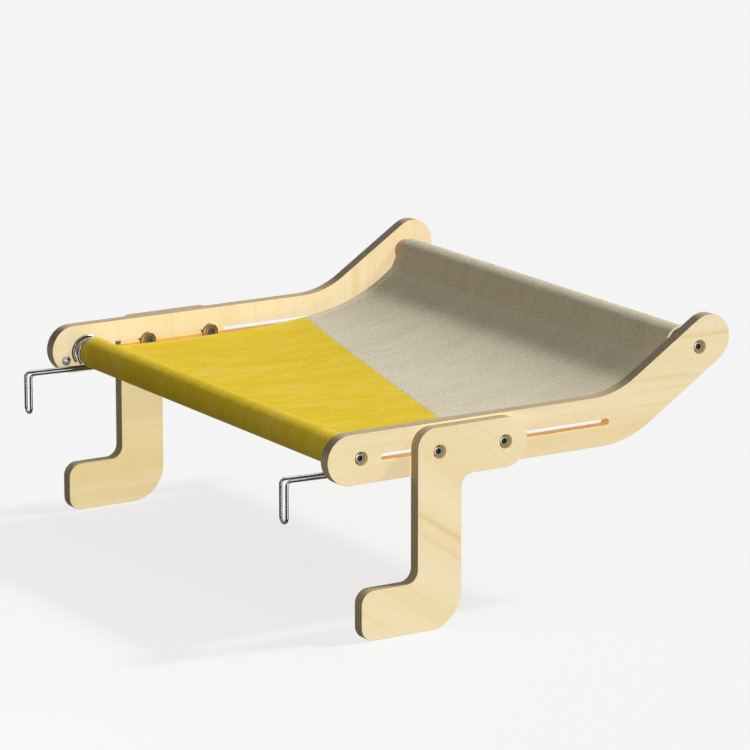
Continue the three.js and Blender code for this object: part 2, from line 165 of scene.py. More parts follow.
class WoodSettings(bpy.types.PropertyGroup):
    strip_width: length("Strip Width", 0.0465, "Width of panels and bracket arms")
    end_margin: length("End Margin", 0.012, "From a dowel bolt to the centre of the round end beyond it")
    bend_place: length("Bend Place", 0.281, "Where the centrelines of flat and arm meet")
    arm_angle: turn("Arm Angle", 33, "How steeply a panel's rear arm rises")
    upper_bend: length("Upper Bend", 0.085, "Radius of a panel's upper edge at the bend")
    lower_bend: length("Lower Bend", 0.1, "Radius of a panel's lower edge at the bend")
    slot_start: length("Slot Start", 0.0205, "Front end of a panel's slot")
    slot_end: length("Slot End", 0.267, "Rear end of a panel's slot")
    slot_height: length("Slot Height", 0.0064, "Height of a panel's slot")
    bolt_hole: length("Bolt Hole", 0.0033, "Radius of a bolt hole")
    counterbore: length("Counterbore", 0.00675, "Radius of the hole for a bolt head")
    counterbore_depth: length("Counterbore Depth", 0.0084, "Depth of the hole for a bolt head")
    screw_hole: length("Screw Hole", 0.0023, "Radius of the hole for a stop screw")
    screw_hole_depth: length("Screw Hole Depth", 0.0093, "Depth of the hole for a stop screw")
    insert_fit: length("Insert Fit", 0.0003, "Between a threaded insert and the wood round it")
    stock: length("Stock", 0.012, "Thickness of the plywood")
    bracket_drop: length("Bracket Drop", 0.0006, "Centreline of a bracket's arm below its bolts")
    leg_drop: length("Leg Drop", 0.1416, "From a bracket's bolts down to its foot's centreline")
    foot_reach: length("Foot Reach", 0.0825, "From a bracket's front bolt forward to its foot's end")
    shoulder: length("Shoulder", 0.018, "Radius where a bracket's leg meets its arm, outside")
    inner_corner: length("Inner Corner", 0.012, "Radius of a bracket's inner corners")
    heel: length("Heel", 0.034, "Radius of a bracket's heel")
    toe: length("Toe", 0.013, "Radius of the corners of a foot")
    rounding: length("Rounding", 0.0003, "Radius of the eased edges of the plywood")
    dowel_rounding: length("Dowel Rounding", 0.0006, "Radius of the eased ends of the dowels")
    arc_step: turn("Arc Step", 4, "Turn between the points of an arc")
    plies: count("Plies", 7, "Layers of veneer in the plywood")
    face: colour("Face", (240, 222, 181), "Face veneer")
    face_left: colour("Left Bracket Face", (240, 220, 166), "Yellower face veneer of the left bracket")
    line: colour("Grain Line", (227, 193, 124), "Lines of the grain")
    band: colour("Grain Band", (244, 230, 196), "Paler bands of the grain")
    streak: colour("Streak", (222, 184, 112), "Golden streaks of the face veneer")
    ply_light: colour("Light Ply", (206, 186, 154), "Edge of a veneer cut along its grain")
    ply_dark: colour("Dark Ply", (166, 146, 116), "Edge of a veneer cut across its grain")
    glue: colour("Glue Line", (104, 84, 64), "Glue between veneers")
    # Cut walls of slots and counterbores are painted with bounce light: a bright orange tone and a painted
    # glow, though the wood gives no light.
    slot_wall_painted_bounce: colour("Slot Wall", (252, 208, 140), "Cut walls of the slots")
    slot_painted_glow: share("Slot Glow", 0.25, "Light that comes through the pale wood beside a slot")
    bore_wall_painted_bounce: colour("Bore Wall", (238, 210, 150), "Cut walls of the bolts' counterbores")
    bore_painted_glow: share("Bore Glow", 0.2, "Light that comes through the pale wood beside a counterbore")
    wall_dark: share("Wall Dark", 0.8, "Every second ply of a cut wall, as a share of the pale ones")
    wall_glue: share("Wall Glue", 0.5, "Glue lines of a cut wall, as a share of the pale plies")
    # Painted shade: a panel's edges are darkened where they slant, as the light falls on them.
    slope_shade: share("Slope Shade", 0.55, "How much darker a panel's edge is where it slants")
    # Painted bounce light: a golden strip along a bracket's edge beside its panel.
    painted_bounce_edge: colour("Warm Edge", (216, 180, 126), "Golden edge of the veneer that lies against a panel")
    painted_bounce_width: length("Warm Width", 0.0012, "Width of a bracket's golden edge beside its panel")
    dowel: colour("Dowel", (172, 122, 76), "Dowels")
    dowel_line: colour("Dowel Line", (128, 84, 46), "Grain of the dowels")
    dowel_band: share("Dowel Band", 1.15, "Paler bands of the dowels, as a share of their colour")
    dowel_contrast: share("Dowel Contrast", 1.2, "Strength of the dowels' grain")


class HardwareSettings(bpy.types.PropertyGroup):
    bolt: length("Bolt", 0.003, "Radius of a bolt's shank")
    clearance: length("Clearance", 0.0003, "Between a bolt's shank and what sits on it")
    head: length("Head", 0.005, "Radius of a bolt's head")
    head_height: length("Head Height", 0.004, "Height of a bolt's head")
    head_edge: length("Head Edge", 0.0009, "Height of the straight side of a bolt's head")
    crown: length("Crown", 0.0036, "Radius of the flat top of a bolt's head")
    key: length("Key", 0.0048, "Width of the hexagonal socket across its flats")
    key_depth: length("Key Depth", 0.0022, "Depth of the hexagonal socket")
    bevel: length("Bevel", 0.0003, "Bevel round the hexagonal socket")
    chamfer: length("Chamfer", 0.0005, "Chamfer of turned pieces")
    nut_boss: length("Nut Boss", 0.0061, "Radius of a nut's boss")
    nut_flange: length("Nut Flange", 0.0022, "Height of a nut's domed flange")
    nut_edge: length("Nut Edge", 0.0008, "Height of the straight side of a nut's flange")
    nut_rim: length("Nut Rim", 0.0016, "Width of the raised rim of a nut's boss")
    nut_sink: length("Nut Sink", 0.0012, "Depth of the sunk middle of a nut")
    screw_head: length("Screw Head", 0.00465, "Radius of a stop screw's head")
    screw_height: length("Screw Height", 0.0034, "Height of a stop screw's head")
    screw_edge: length("Screw Edge", 0.0011, "Height of the straight side of a stop screw's head")
    screw_shank: length("Screw Shank", 0.002, "Radius of a stop screw's shank")
    cross_length: length("Cross Length", 0.0046, "Length of the cross recess")
    cross_width: length("Cross Width", 0.0011, "Width of the cross recess")
    cross_depth: length("Cross Depth", 0.0013, "Depth of the cross recess")
    wire: length("Wire", 0.0015, "Radius of the hook wire")
    wire_end: length("Wire End", 0.0004, "Bevel round the ends of the hook wire")
    wire_spacing: length("Wire Spacing", 0.0106, "Between the two arms of a hook")
    ring: length("Ring", 0.0149, "Radius of a hook's rings")
    ring_height: length("Ring Height", 0.02115, "Height of the rings' centre")
    ring_end: turn("Ring End", 219, "Where a ring's wire ends")
    hook_reach: length("Hook Reach", 0.0671, "From a ring's centre to the drop")
    hook_drop: length("Hook Drop", 0.0386, "Length of a hook's drop")
    hook_bend: length("Hook Bend", 0.004, "Radius of a hook's bend")
    hook_tilt: turn("Hook Tilt", 1.5, "How much the arms rise towards the drop")
    sides: count("Sides", 48, "Sides of turned pieces")
    # Plating colours painted with reflections by the way each face points: chrome is a painted dark
    # reflection; soft chrome, the dark of bolt heads and stop screws, is a painted reflection of a bolt's
    # hole; middle chrome and middle nut are painted reflections of walls and floor; the bright colour is a
    # painted highlight, and warm is a painted reflection of wood. Zinc and nut are plain tones.
    chrome: colour("Chrome", (38, 43, 50), "Bright plating where it mirrors the dark of a room")
    chrome_soft: colour("Soft Chrome", (150, 154, 160), "Bright plating where it mirrors the hole round it")
    chrome_painted_reflection: colour("Middle Chrome", (176, 174, 174), "Bright plating where it mirrors walls and floor")
    painted_glint: colour("Glint", (232, 232, 230), "Plating where it mirrors a window")
    warm: colour("Warm", (206, 170, 112), "Plating where it mirrors wood")
    zinc: colour("Zinc", (70, 66, 62), "Plating of washers and inserts")
    nut: colour("Nut", (92, 78, 62), "Bronzed plating of the nuts")
    nut_painted_reflection: colour("Middle Nut", (158, 124, 66), "Bronzed plating where it mirrors walls and floor")


class ClothSettings(bpy.types.PropertyGroup):
    thickness: length("Thickness", 0.0016, "Thickness of the cloth")
    hem_thickness: length("Hem Thickness", 0.0021, "Thickness of the turned side hems")
    hem_width: length("Hem Width", 0.011, "Width of the turned side hems")
    hem_fade: length("Hem Fade", 0.0015, "Width over which a hem thins out to the plain cloth")
    hem_line: length("Hem Line", 0.002, "From a hem's inner edge out to its row of stitches")
    fold: length("Fold", 0.00015, "Bevel of the cloth's edges")
    half_width: length("Half Width", 0.2332, "From mid-width to a side hem")
    pocket: length("Pocket", 0.01435, "Radius of the pockets, to the middle of the cloth")
    pocket_length: length("Pocket Length", 0.02615, "From a pocket's centre to its stitching")
    pocket_draw: length("Pocket Draw", 0.00205, "From a dowel's axis to its pocket's centre")
    front_sag: turn("Front Sag", 45, "From level down to the front pocket's centre")
    rear_sag: turn("Rear Sag", 15, "From level down to the rear pocket's centre")
    front_rise: turn("Front Rise", 4.9, "From the front pocket's centre up to its stitching")
    rear_dip: turn("Rear Dip", 29.5, "From the rear pocket's centre down to its stitching")
    run_dip: turn("Run Dip", 1.4, "How the cloth falls from the front stitching")
    run_rise: turn("Run Rise", 36.7, "How the cloth rises to the rear stitching")
    front_share: share("Front Share", 0.726, "How far the front keeps its direction")
    rear_share: share("Rear Share", 0.191, "How far the rear keeps its direction")
    seam_left: length("Seam Left", 0.2414, "Where the two cloths meet at the left edge")
    seam_right: length("Seam Right", 0.1242, "Where the two cloths meet at the right edge")
    seam_gap: length("Seam Gap", 0.00004, "Valley between the two cloths")
    tail_gap: length("Tail Gap", 0.0004, "Between the run and the turned end below it")
    tail: length("Tail", 0.009, "Turned end of the cloth beyond the stitching")
    ripple: length("Ripple", 0.00025, "Height of the ripples in the stretched cloth")
    seam_line: length("Seam Line", 0.003, "From the stitching's end of the run to the row of stitches")
    stitch: length("Stitch", 0.0034, "Length of a stitch")
    stitch_gap: length("Stitch Gap", 0.001, "Between two stitches")
    thread: length("Thread", 0.00032, "Radius of the thread")
    weave: length("Weave", 0.0011, "Spacing of the woven threads")
    yellow: colour("Yellow", (216, 186, 14), "Front cloth")
    yellow_light: colour("Light Yellow", (221, 194, 76), "Paler streaks of the front cloth")
    yellow_deep: colour("Deep Yellow", (210, 176, 6), "Deeper streaks of the front cloth")
    grey: colour("Grey", (202, 193, 169), "Rear cloth")
    grey_light: colour("Light Grey", (216, 207, 186), "Paler threads of the rear cloth")
    grey_deep: colour("Deep Grey", (182, 173, 148), "Deeper threads of the rear cloth")
    yellow_clouds: share("Yellow Clouds", 0.9, "How much the front cloth's colour wanders")
    grey_clouds: share("Grey Clouds", 0.4, "How much the rear cloth's colour wanders")


def strength(name, default, description):
    return FloatProperty(name=name, default=default, description=description)


class StageSettings(bpy.types.PropertyGroup):
    lens: FloatProperty(name="Lens", default=232.308, description="Focal length in mm", unit="CAMERA")
    floor_size: length("Floor Size", 120, "Width of the floor")
    floor_gap: length("Floor Gap", 0.0002, "Between the floor and the lowest point above it")
    floor: colour("Floor", (244, 244, 244), "Floor and surroundings as the camera sees them")
    floor_glow: share("Floor Glow", 0.85, "How much the seen floor thins out the object's shadow")
    bounce: colour("Bounce", (126, 125, 120), "Floor as it lights the object")
    sky: colour("Sky", (109, 109, 107), "Surroundings as they light the object")
    main: strength("Main", 3.0, "Strength of the main light, from the rear and above")
    main_rise: turn("Main Rise", 44.2, "Height of the main light")
    main_turn: turn("Main Turn", 9.5, "How far the main light stands to the right of the rear")
    main_width: turn("Main Width", 7, "Width of the main light as seen from the object")
    top: strength("Top", 0.4, "Strength of the soft light from above")
    top_width: turn("Top Width", 60, "Width of the light from above")
    front_fill: strength("Front Fill", 2.03, "Strength of the light on the right side")
    back_fill: strength("Back Fill", 2.0, "Strength of the light on the left side")
    fill_width: turn("Fill Width", 30, "Width of the lights on the sides")
    lamp: FloatProperty(name="Lamp", default=2.6, description="Power of the near lamp", unit="POWER")
    lamp_size: length("Lamp Size", 0.1, "Radius of the near lamp")


# Mesh helpers


def finish_mesh(name, mesh, materials, sharp=TURNED_SHARP):
    """An object at the origin with its materials, smooth but for its sharp edges."""
    piece = bpy.data.objects.new(name, mesh)
    bpy.context.scene.collection.objects.link(piece)
    mesh.name = name
    for place, material in enumerate(materials):
        if place < len(mesh.materials):
            mesh.materials[place] = material
        else:
            mesh.materials.append(material)
    mesh.set_sharp_from_angle(angle=math.radians(sharp))
    return piece


def close_up(bm):
    """Merges points that touch, and turns all faces outwards."""
    bmesh.ops.remove_doubles(bm, verts=bm.verts, dist=TOUCHING)
    bmesh.ops.recalc_face_normals(bm, faces=bm.faces)


def as_mesh(bm, closed=True):
    if closed:
        close_up(bm)
    mesh = bpy.data.meshes.new("shape")
    bm.to_mesh(mesh)
    bm.free()
    return mesh


def stands_for(piece, node):
    """The piece rides with its CAD node's body, and the CAD node is hidden."""
    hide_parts(node)
    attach(piece, BODY_OF[node])
    return piece


def set_smooth(bm):
    for face in bm.faces:
        face.smooth = True


def new_of(geometry, kind):
    """The vertices, edges or faces among what an operator made."""
    return [item for item in geometry if isinstance(item, kind)]


def turned(profile, sides, closed=False):
    """A solid of revolution round Z from a profile of (radius, height)."""
    bm = bmesh.new()
    verts = [bm.verts.new((r, 0, z)) for r, z in profile]
    edges = [bm.edges.new(pair) for pair in zip(verts, verts[1:])]
    if closed:
        edges.append(bm.edges.new((verts[-1], verts[0])))
    whole = {"cent": (0, 0, 0), "axis": (0, 0, 1), "angle": 2 * math.pi, "use_merge": True}
    bmesh.ops.spin(bm, geom=verts + edges, steps=sides, **whole)
    close_up(bm)
    set_smooth(bm)
    return bm


def dome(rim, top, low, high, steps):
    """A quarter arc of (radius, height), from a rim up to a flat top."""
    angles = [math.pi / 2 * k / steps for k in range(steps + 1)]
    return [(top + (rim - top) * math.cos(a), low + (high - low) * math.sin(a)) for a in angles]


def eased(points, radius):
    """A profile whose corners marked True are rounded with short arcs."""
    out = []
    for i, (r, z, ease) in enumerate(points):
        if not ease:
            out.append((r, z))
            continue
        here = Vector((r, z))
        before = (Vector(points[i - 1][:2]) - here).normalized()
        after = (Vector(points[(i + 1) % len(points)][:2]) - here).normalized()
        for along, up in dome(1, 0, 0, 1, EASE_STEPS):
            point = here + before * radius * (1 - up) + after * radius * (1 - along)
            out.append((point.x, point.y))
    return out


def bevelled(bm, edges, radius, segments, clamped=False):
    shape = {"offset_type": "OFFSET", "affect": "EDGES", "profile": 0.5, "material": -1}
    bmesh.ops.bevel(bm, geom=edges, offset=radius, segments=segments, clamp_overlap=clamped, **shape)


def placed(bm, matrix):
    bmesh.ops.transform(bm, matrix=matrix, verts=bm.verts)
    return bm


def outwards(side, place, depth):
    """Stands a turned piece on a side's face, its top outwards."""
    facing = Matrix.Rotation(math.radians(-90 * side), 4, "X")
    return Matrix.Translation((place.x, depth, place.z)) @ facing


def cut(mesh, cutter):
    """The mesh with the cutter's shape taken out of it. Both have the same places for materials."""
    solid = bpy.data.objects.new("solid", mesh)
    tool = bpy.data.objects.new("tool", cutter)
    for item in (solid, tool):
        bpy.context.scene.collection.objects.link(item)
        for _ in range(len(PLYWOOD_FINISHES) - len(item.data.materials)):
            item.data.materials.append(None)
    boolean = solid.modifiers.new("cut", "BOOLEAN")
    boolean.operation = "DIFFERENCE"
    boolean.solver = "EXACT"
    boolean.object = tool
    bpy.context.view_layer.update()
    result = bpy.data.meshes.new_from_object(solid.evaluated_get(bpy.context.evaluated_depsgraph_get()))
    for item in (solid, tool):
        data = item.data
        bpy.data.objects.remove(item)
        bpy.data.meshes.remove(data)
    return result


# Plywood

PLYWOOD_FINISHES = FACE_WOOD, PLY_EDGE, SLOT_WALL, BORE_WALL = range(4)


def trace(bm, corners, arc_step):
    """A closed outline in X and Z, each corner (x, z, radius) rounded by spinning a point."""
    points = [Vector((x, 0, z)) for x, z, _ in corners]
    up = Vector((0, 1, 0))
    first = last = None
    for i, (_, _, radius) in enumerate(corners):
        into = (points[i] - points[i - 1]).normalized()
        out = (points[(i + 1) % len(points)] - points[i]).normalized()
        angle = into.angle(out)
        side = 1 if out.cross(into).y > 0 else -1
        start = points[i] - into * radius * math.tan(angle / 2)
        inward = up.cross(into) * -side
        vert = bm.verts.new(start)
        if last:
            bm.edges.new((last, vert))
        first = first or vert
        steps = max(2, round(angle / arc_step))
        spun = bmesh.ops.spin(
            bm, geom=[vert], cent=start + inward * radius, axis=(0, -side, 0), angle=angle, steps=steps
        )
        last = new_of(spun["geom_last"], bmesh.types.BMVert)[0]
    bm.edges.new((last, first))
    bmesh.ops.remove_doubles(bm, verts=bm.verts, dist=TOUCHING)


def slab(corners, near, far, arc_step, face=FACE_WOOD, edge=PLY_EDGE):
    """A plate from an outline in X and Z, between two depths along Y."""
    bm = bmesh.new()
    trace(bm, corners, arc_step)
    bmesh.ops.edgeloop_fill(bm, edges=bm.edges[:])
    grown = bmesh.ops.extrude_face_region(bm, geom=bm.faces[:])
    moved = new_of(grown["geom"], bmesh.types.BMVert)
    bmesh.ops.translate(bm, verts=moved, vec=(0, far - near, 0))
    bmesh.ops.translate(bm, verts=bm.verts, vec=(0, near, 0))
    bmesh.ops.recalc_face_normals(bm, faces=bm.faces)
    for item in bm.faces:
        item.material_index = face if abs(item.normal.y) > FACING_SHARE else edge
    return bm


def counterbore_cutter(wood, place, inner, outer):
    """A stepped plug: a bolt hole from the inner face, then the wide hole for a head."""
    side = 1 if outer > 0 else -1
    thickness = abs(outer - inner)
    floor = thickness - wood.counterbore_depth
    profile = [
        (0, -OVERRUN),
        (wood.bolt_hole, -OVERRUN),
        (wood.bolt_hole, floor),
        (wood.counterbore, floor),
        (wood.counterbore, thickness + OVERRUN),
        (0, thickness + OVERRUN),
    ]
    bm = turned(profile, HOLE_SIDES)
    for item in bm.faces:
        item.material_index = BORE_WALL
        item.smooth = False
    return placed(bm, outwards(side, place, inner))


def ease_edges(mesh, radius):
    """Merges a plate's flat faces and rounds its edges."""
    bm = bmesh.new()
    bm.from_mesh(mesh)
    bmesh.ops.dissolve_limit(bm, angle_limit=IN_LINE, verts=bm.verts, edges=bm.edges, delimit={"MATERIAL"})
    corners = [e for e in bm.edges if e.is_manifold and e.calc_face_angle() > CORNER]
    bevelled(bm, corners, radius, EASE_STEPS, clamped=True)
    set_smooth(bm)
    bm.to_mesh(mesh)
    bm.free()
    return mesh


def join(target, source):
    """Moves a second shape into the first."""
    spare = as_mesh(source, closed=False)
    target.from_mesh(spare)
    bpy.data.meshes.remove(spare)


# Turn of the grain, seed, contrast, and golden streaks: place across the grain, width, start, end, strength.
PANEL_GRAIN = {
    "left": (math.radians(90), 1.7, 0.6, [(0.3107, 0.0065, -0.08, -0.02, 0.35)]),
    "right": (0.0, 4.1, 0.85, [(0.0908, 0.0022, 0.335, 0.42, 0.45), (0.0565, 0.0026, 0.27, 0.36, 0.28)]),
}
BRACKET_GRAIN = {
    "left": (0.0, 8.3, 0.6, []),
    "right": (
        math.radians(34),
        6.2,
        0.6,
        [
            (0.003, 0.0044, 0.03, 0.13, 0.5),
            (-0.0118, 0.003, 0.03, 0.16, 0.3),
            (0.098, 0.003, 0.06, 0.14, 0.2),
        ],
    ),
}


def panel_outline(wood, rear):
    half = wood.strip_width / 2
    arm = Vector((math.cos(wood.arm_angle), 0, math.sin(wood.arm_angle)))
    across = Vector((-arm.z, 0, arm.x))
    shift = half * math.tan(wood.arm_angle / 2)
    front = -wood.end_margin - half
    tip = rear + arm * (wood.end_margin + half)
    low, high = tip - across * half, tip + across * half
    return [
        (front, 0, half),
        (wood.bend_place + shift, 0, wood.lower_bend),
        (low.x, low.z, half),
        (high.x, high.z, half),
        (wood.bend_place - shift, 2 * half, wood.upper_bend),
        (front, 2 * half, half),
    ]


def bracket_outline(wood, bolt, spacing):
    half = wood.strip_width / 2
    top = bolt.z + half - wood.bracket_drop
    foot_top = bolt.z - wood.leg_drop + half
    toe_end = bolt.x - wood.foot_reach
    front, back, tip = bolt.x - half, bolt.x + half, bolt.x + spacing + half
    return [
        (toe_end, foot_top - 2 * half, wood.toe),
        (back, foot_top - 2 * half, wood.heel),
        (back, top - 2 * half, wood.inner_corner),
        (tip, top - 2 * half, half),
        (tip, top, half),
        (front, top, wood.shoulder),
        (front, foot_top, wood.inner_corner),
        (toe_end, foot_top, wood.toe),
    ]


def depths(node, side):
    """A plate's inner and outer face along Y."""
    low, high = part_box(node)
    return (low[1], high[1]) if side > 0 else (high[1], low[1])


class CATBED_OT_side_panels(bpy.types.Operator):
    """Model the two plywood side panels with their slots and counterbored holes"""

    bl_idname = "catbed.side_panels"
    bl_label = "Side Panels"

    def execute(self, context):
        wood = context.scene.catbed_wood
        slot_z = middle("right_front_bracket_bolt").z
        radius = wood.slot_height / 2
        for hand, side in HANDS.items():
            node = hand + "_side_panel"
            inner, outer = depths(node, side)
            body = slab(panel_outline(wood, axis_at("rear_dowel")), inner, outer, wood.arc_step)
            over = OVERRUN * side
            slot = [
                (wood.slot_start, slot_z - radius, radius),
                (wood.slot_end, slot_z - radius, radius),
                (wood.slot_end, slot_z + radius, radius),
                (wood.slot_start, slot_z + radius, radius),
            ]
            tools = slab(slot, inner - over, outer + over, SLOT_ARC_STEP, SLOT_WALL, SLOT_WALL)
            for end in ENDS:
                join(tools, counterbore_cutter(wood, axis_at(end + "_dowel"), inner, outer))
            screw = middle(hand + "_stop_screw")
            wide, deep = wood.screw_hole, wood.screw_hole_depth
            hole = turned([(0, -OVERRUN), (wide, -OVERRUN), (wide, deep), (0, deep)], SCREW_HOLE_SIDES)
            join(tools, placed(hole, outwards(side, screw, inner)))
            mesh = cut(as_mesh(body), as_mesh(tools))
            ease_edges(mesh, wood.rounding)
            materials = plywood_materials(context, hand + "_panel", inner, PANEL_GRAIN[hand])
            stands_for(finish_mesh(hand + "_panel_plywood", mesh, materials, PLATE_SHARP), node)
        return {"FINISHED"}


class CATBED_OT_brackets(bpy.types.Operator):
    """Model the two plywood brackets that reach round the board"""

    bl_idname = "catbed.brackets"
    bl_label = "Brackets"

    def execute(self, context):
        wood = context.scene.catbed_wood
        for hand, side in HANDS.items():
            node = hand + "_bracket"
            inner, outer = depths(node, side)
            bolts = [axis_at(f"{hand}_{end}_bracket_bolt") for end in ENDS]
            spacing = bolts[1].x - bolts[0].x
            body = slab(bracket_outline(wood, bolts[0], spacing), inner, outer, wood.arc_step)
            tools = bmesh.new()
            for bolt in bolts:
                join(tools, counterbore_cutter(wood, bolt, inner, outer))
            mesh = cut(as_mesh(body), as_mesh(tools))
            ease_edges(mesh, wood.rounding)
            materials = plywood_materials(context, hand + "_bracket", inner, BRACKET_GRAIN[hand])
            stands_for(finish_mesh(hand + "_bracket_plywood", mesh, materials, PLATE_SHARP), node)
        return {"FINISHED"}


class CATBED_OT_dowels(bpy.types.Operator):
    """Model the two dowels with blind holes for the threaded inserts"""

    bl_idname = "catbed.dowels"
    bl_label = "Dowels"

    def execute(self, context):
        wood = context.scene.catbed_wood
        material = dowel_material(context)
        insert = extent("left_front_dowel_insert")
        bore, depth = insert.x / 2 + wood.insert_fit, insert.y + wood.insert_fit
        for end in ENDS:
            node = end + "_dowel"
            size = extent(node)
            radius, half = size.z / 2, size.y / 2
            points = [
                (0, depth - half, False),
                (bore, depth - half, False),
                (bore, -half, False),
                (radius, -half, True),
                (radius, half, True),
                (bore, half, False),
                (bore, half - depth, False),
                (0, half - depth, False),
            ]
            profile = eased(points, wood.dowel_rounding)
            bm = placed(turned(profile, DOWEL_SIDES), Matrix.Translation(axis_at(node)) @ ALONG_Y)
            stands_for(finish_mesh(end + "_dowel_rod", as_mesh(bm), [material]), node)
        return {"FINISHED"}


# Fasteners and hooks

SOCKET_STEEL, SHANK_STEEL = 1, 2  # places of a bolt's materials after its plating


def socket_bolt(steel, shank):
    """A bolt with a domed head and a hexagonal socket, standing on z = 0, its shank below."""
    profile = [
        (0, -shank),
        (steel.bolt - steel.chamfer, -shank),
        (steel.bolt, -shank + steel.chamfer),
        (steel.bolt, 0),
        (steel.head - steel.chamfer / 2, 0),
        (steel.head, steel.chamfer / 2),
        *dome(steel.head, steel.crown, steel.head_edge, steel.head_height, DOME_STEPS),
    ]
    bm = turned(profile, steel.sides)
    border = [e for e in bm.edges if e.is_boundary]
    place = Matrix.Translation((0, 0, steel.head_height))
    corner = steel.key / math.sqrt(3)
    mouth = corner + steel.bevel
    hexagon = bmesh.ops.create_circle(bm, cap_ends=False, radius=mouth, segments=6, matrix=place)["verts"]
    sides = list({e for v in hexagon for e in v.link_edges})
    bmesh.ops.subdivide_edges(bm, edges=sides, cuts=steel.sides // 6 - 1)
    ring = [e for e in bm.edges if e.is_wire]
    bmesh.ops.bridge_loops(bm, edges=border + ring)
    for inwards, down in ((corner / mouth, steel.bevel), (1, steel.key_depth)):
        step = bmesh.ops.extrude_edge_only(bm, edges=ring)["geom"]
        for face in new_of(step, bmesh.types.BMFace):
            face.material_index = SOCKET_STEEL
        verts = new_of(step, bmesh.types.BMVert)
        bmesh.ops.scale(bm, vec=(inwards, inwards, 1), verts=verts)
        bmesh.ops.translate(bm, vec=(0, 0, -down), verts=verts)
        ring = [e for e in new_of(step, bmesh.types.BMEdge) if e.is_boundary]
    bottom = bmesh.ops.edgeloop_fill(bm, edges=ring)["faces"]
    for face in bmesh.ops.poke(bm, faces=bottom, offset=-steel.bevel)["faces"]:
        face.material_index = SOCKET_STEEL
    bmesh.ops.recalc_face_normals(bm, faces=bm.faces)
    for face in bm.faces:
        if face.calc_center_median().z < 0:
            face.material_index = SHANK_STEEL
    set_smooth(bm)
    return bm


def washer_shape(inner, outer, height, sides):
    corners = [(inner, 0, True), (outer, 0, True), (outer, height, True), (inner, height, True)]
    return turned(eased(corners, height * CORNER_SHARE), sides, closed=True)


def flanged_nut(steel, bore, flange, height):
    """A round nut standing on z = 0: a domed flange, a boss with a raised rim and a sunk middle."""
    rim = steel.nut_boss - steel.nut_rim
    ease = steel.chamfer
    middle_ease = CORNER_SHARE * ease
    profile = [
        (bore, 0),
        (flange, 0),
        *dome(flange, steel.nut_boss, steel.nut_edge, steel.nut_flange, DOME_STEPS),
        (steel.nut_boss, height - ease),
        (steel.nut_boss - middle_ease, height - middle_ease),
        (steel.nut_boss - ease, height),
        (rim + ease, height),
        (rim + middle_ease, height - middle_ease),
        (rim, height - ease),
        (rim - ease, height - steel.nut_sink),
        (bore, height - steel.nut_sink),
    ]
    return turned(profile, steel.sides, closed=True)


def pan_head_screw(steel, shank):
    """A domed screw with a cross recess, its head standing on z = 0."""
    bulge = steel.screw_height - steel.screw_edge
    radius = (steel.screw_head**2 + bulge**2) / (2 * bulge)
    widest = math.asin(steel.screw_head / radius)
    tip = steel.screw_shank
    profile = [(0, -shank), (tip, -shank + tip), (tip, 0), (steel.screw_head, 0)]
    for i in range(SCREW_DOME_STEPS + 1):
        angle = widest * (1 - i / SCREW_DOME_STEPS)
        profile.append((radius * math.sin(angle), steel.screw_height - radius * (1 - math.cos(angle))))
    result = as_mesh(turned(profile, steel.sides))
    size = Matrix.Diagonal((steel.cross_length, steel.cross_width, 2 * steel.cross_depth, 1))
    for quarter in (0, math.pi / 2):
        bar = bmesh.new()
        place = Matrix.Translation((0, 0, steel.screw_height)) @ Matrix.Rotation(quarter, 4, "Z")
        bmesh.ops.create_cube(bar, size=1, matrix=place @ size)
        result = cut(result, as_mesh(bar))
    bm = bmesh.new()
    bm.from_mesh(result)
    bpy.data.meshes.remove(result)
    set_smooth(bm)
    return bm


def sweep(bm, ring, moves):
    """Draws a wire along straight moves and bends from a first ring of edges."""
    edges = ring
    for kind, *values in moves:
        if kind == "straight":
            step = bmesh.ops.extrude_edge_only(bm, edges=edges)["geom"]
            verts = new_of(step, bmesh.types.BMVert)
            bmesh.ops.translate(bm, verts=verts, vec=values[0])
            edges = [e for e in new_of(step, bmesh.types.BMEdge) if all(v in verts for v in e.verts)]
        else:
            centre, axis, angle, steps = values
            verts = list({v for e in edges for v in e.verts})
            spun = bmesh.ops.spin(bm, geom=edges + verts, cent=centre, axis=axis, angle=angle, steps=steps)
            edges = new_of(spun["geom_last"], bmesh.types.BMEdge)
    return edges


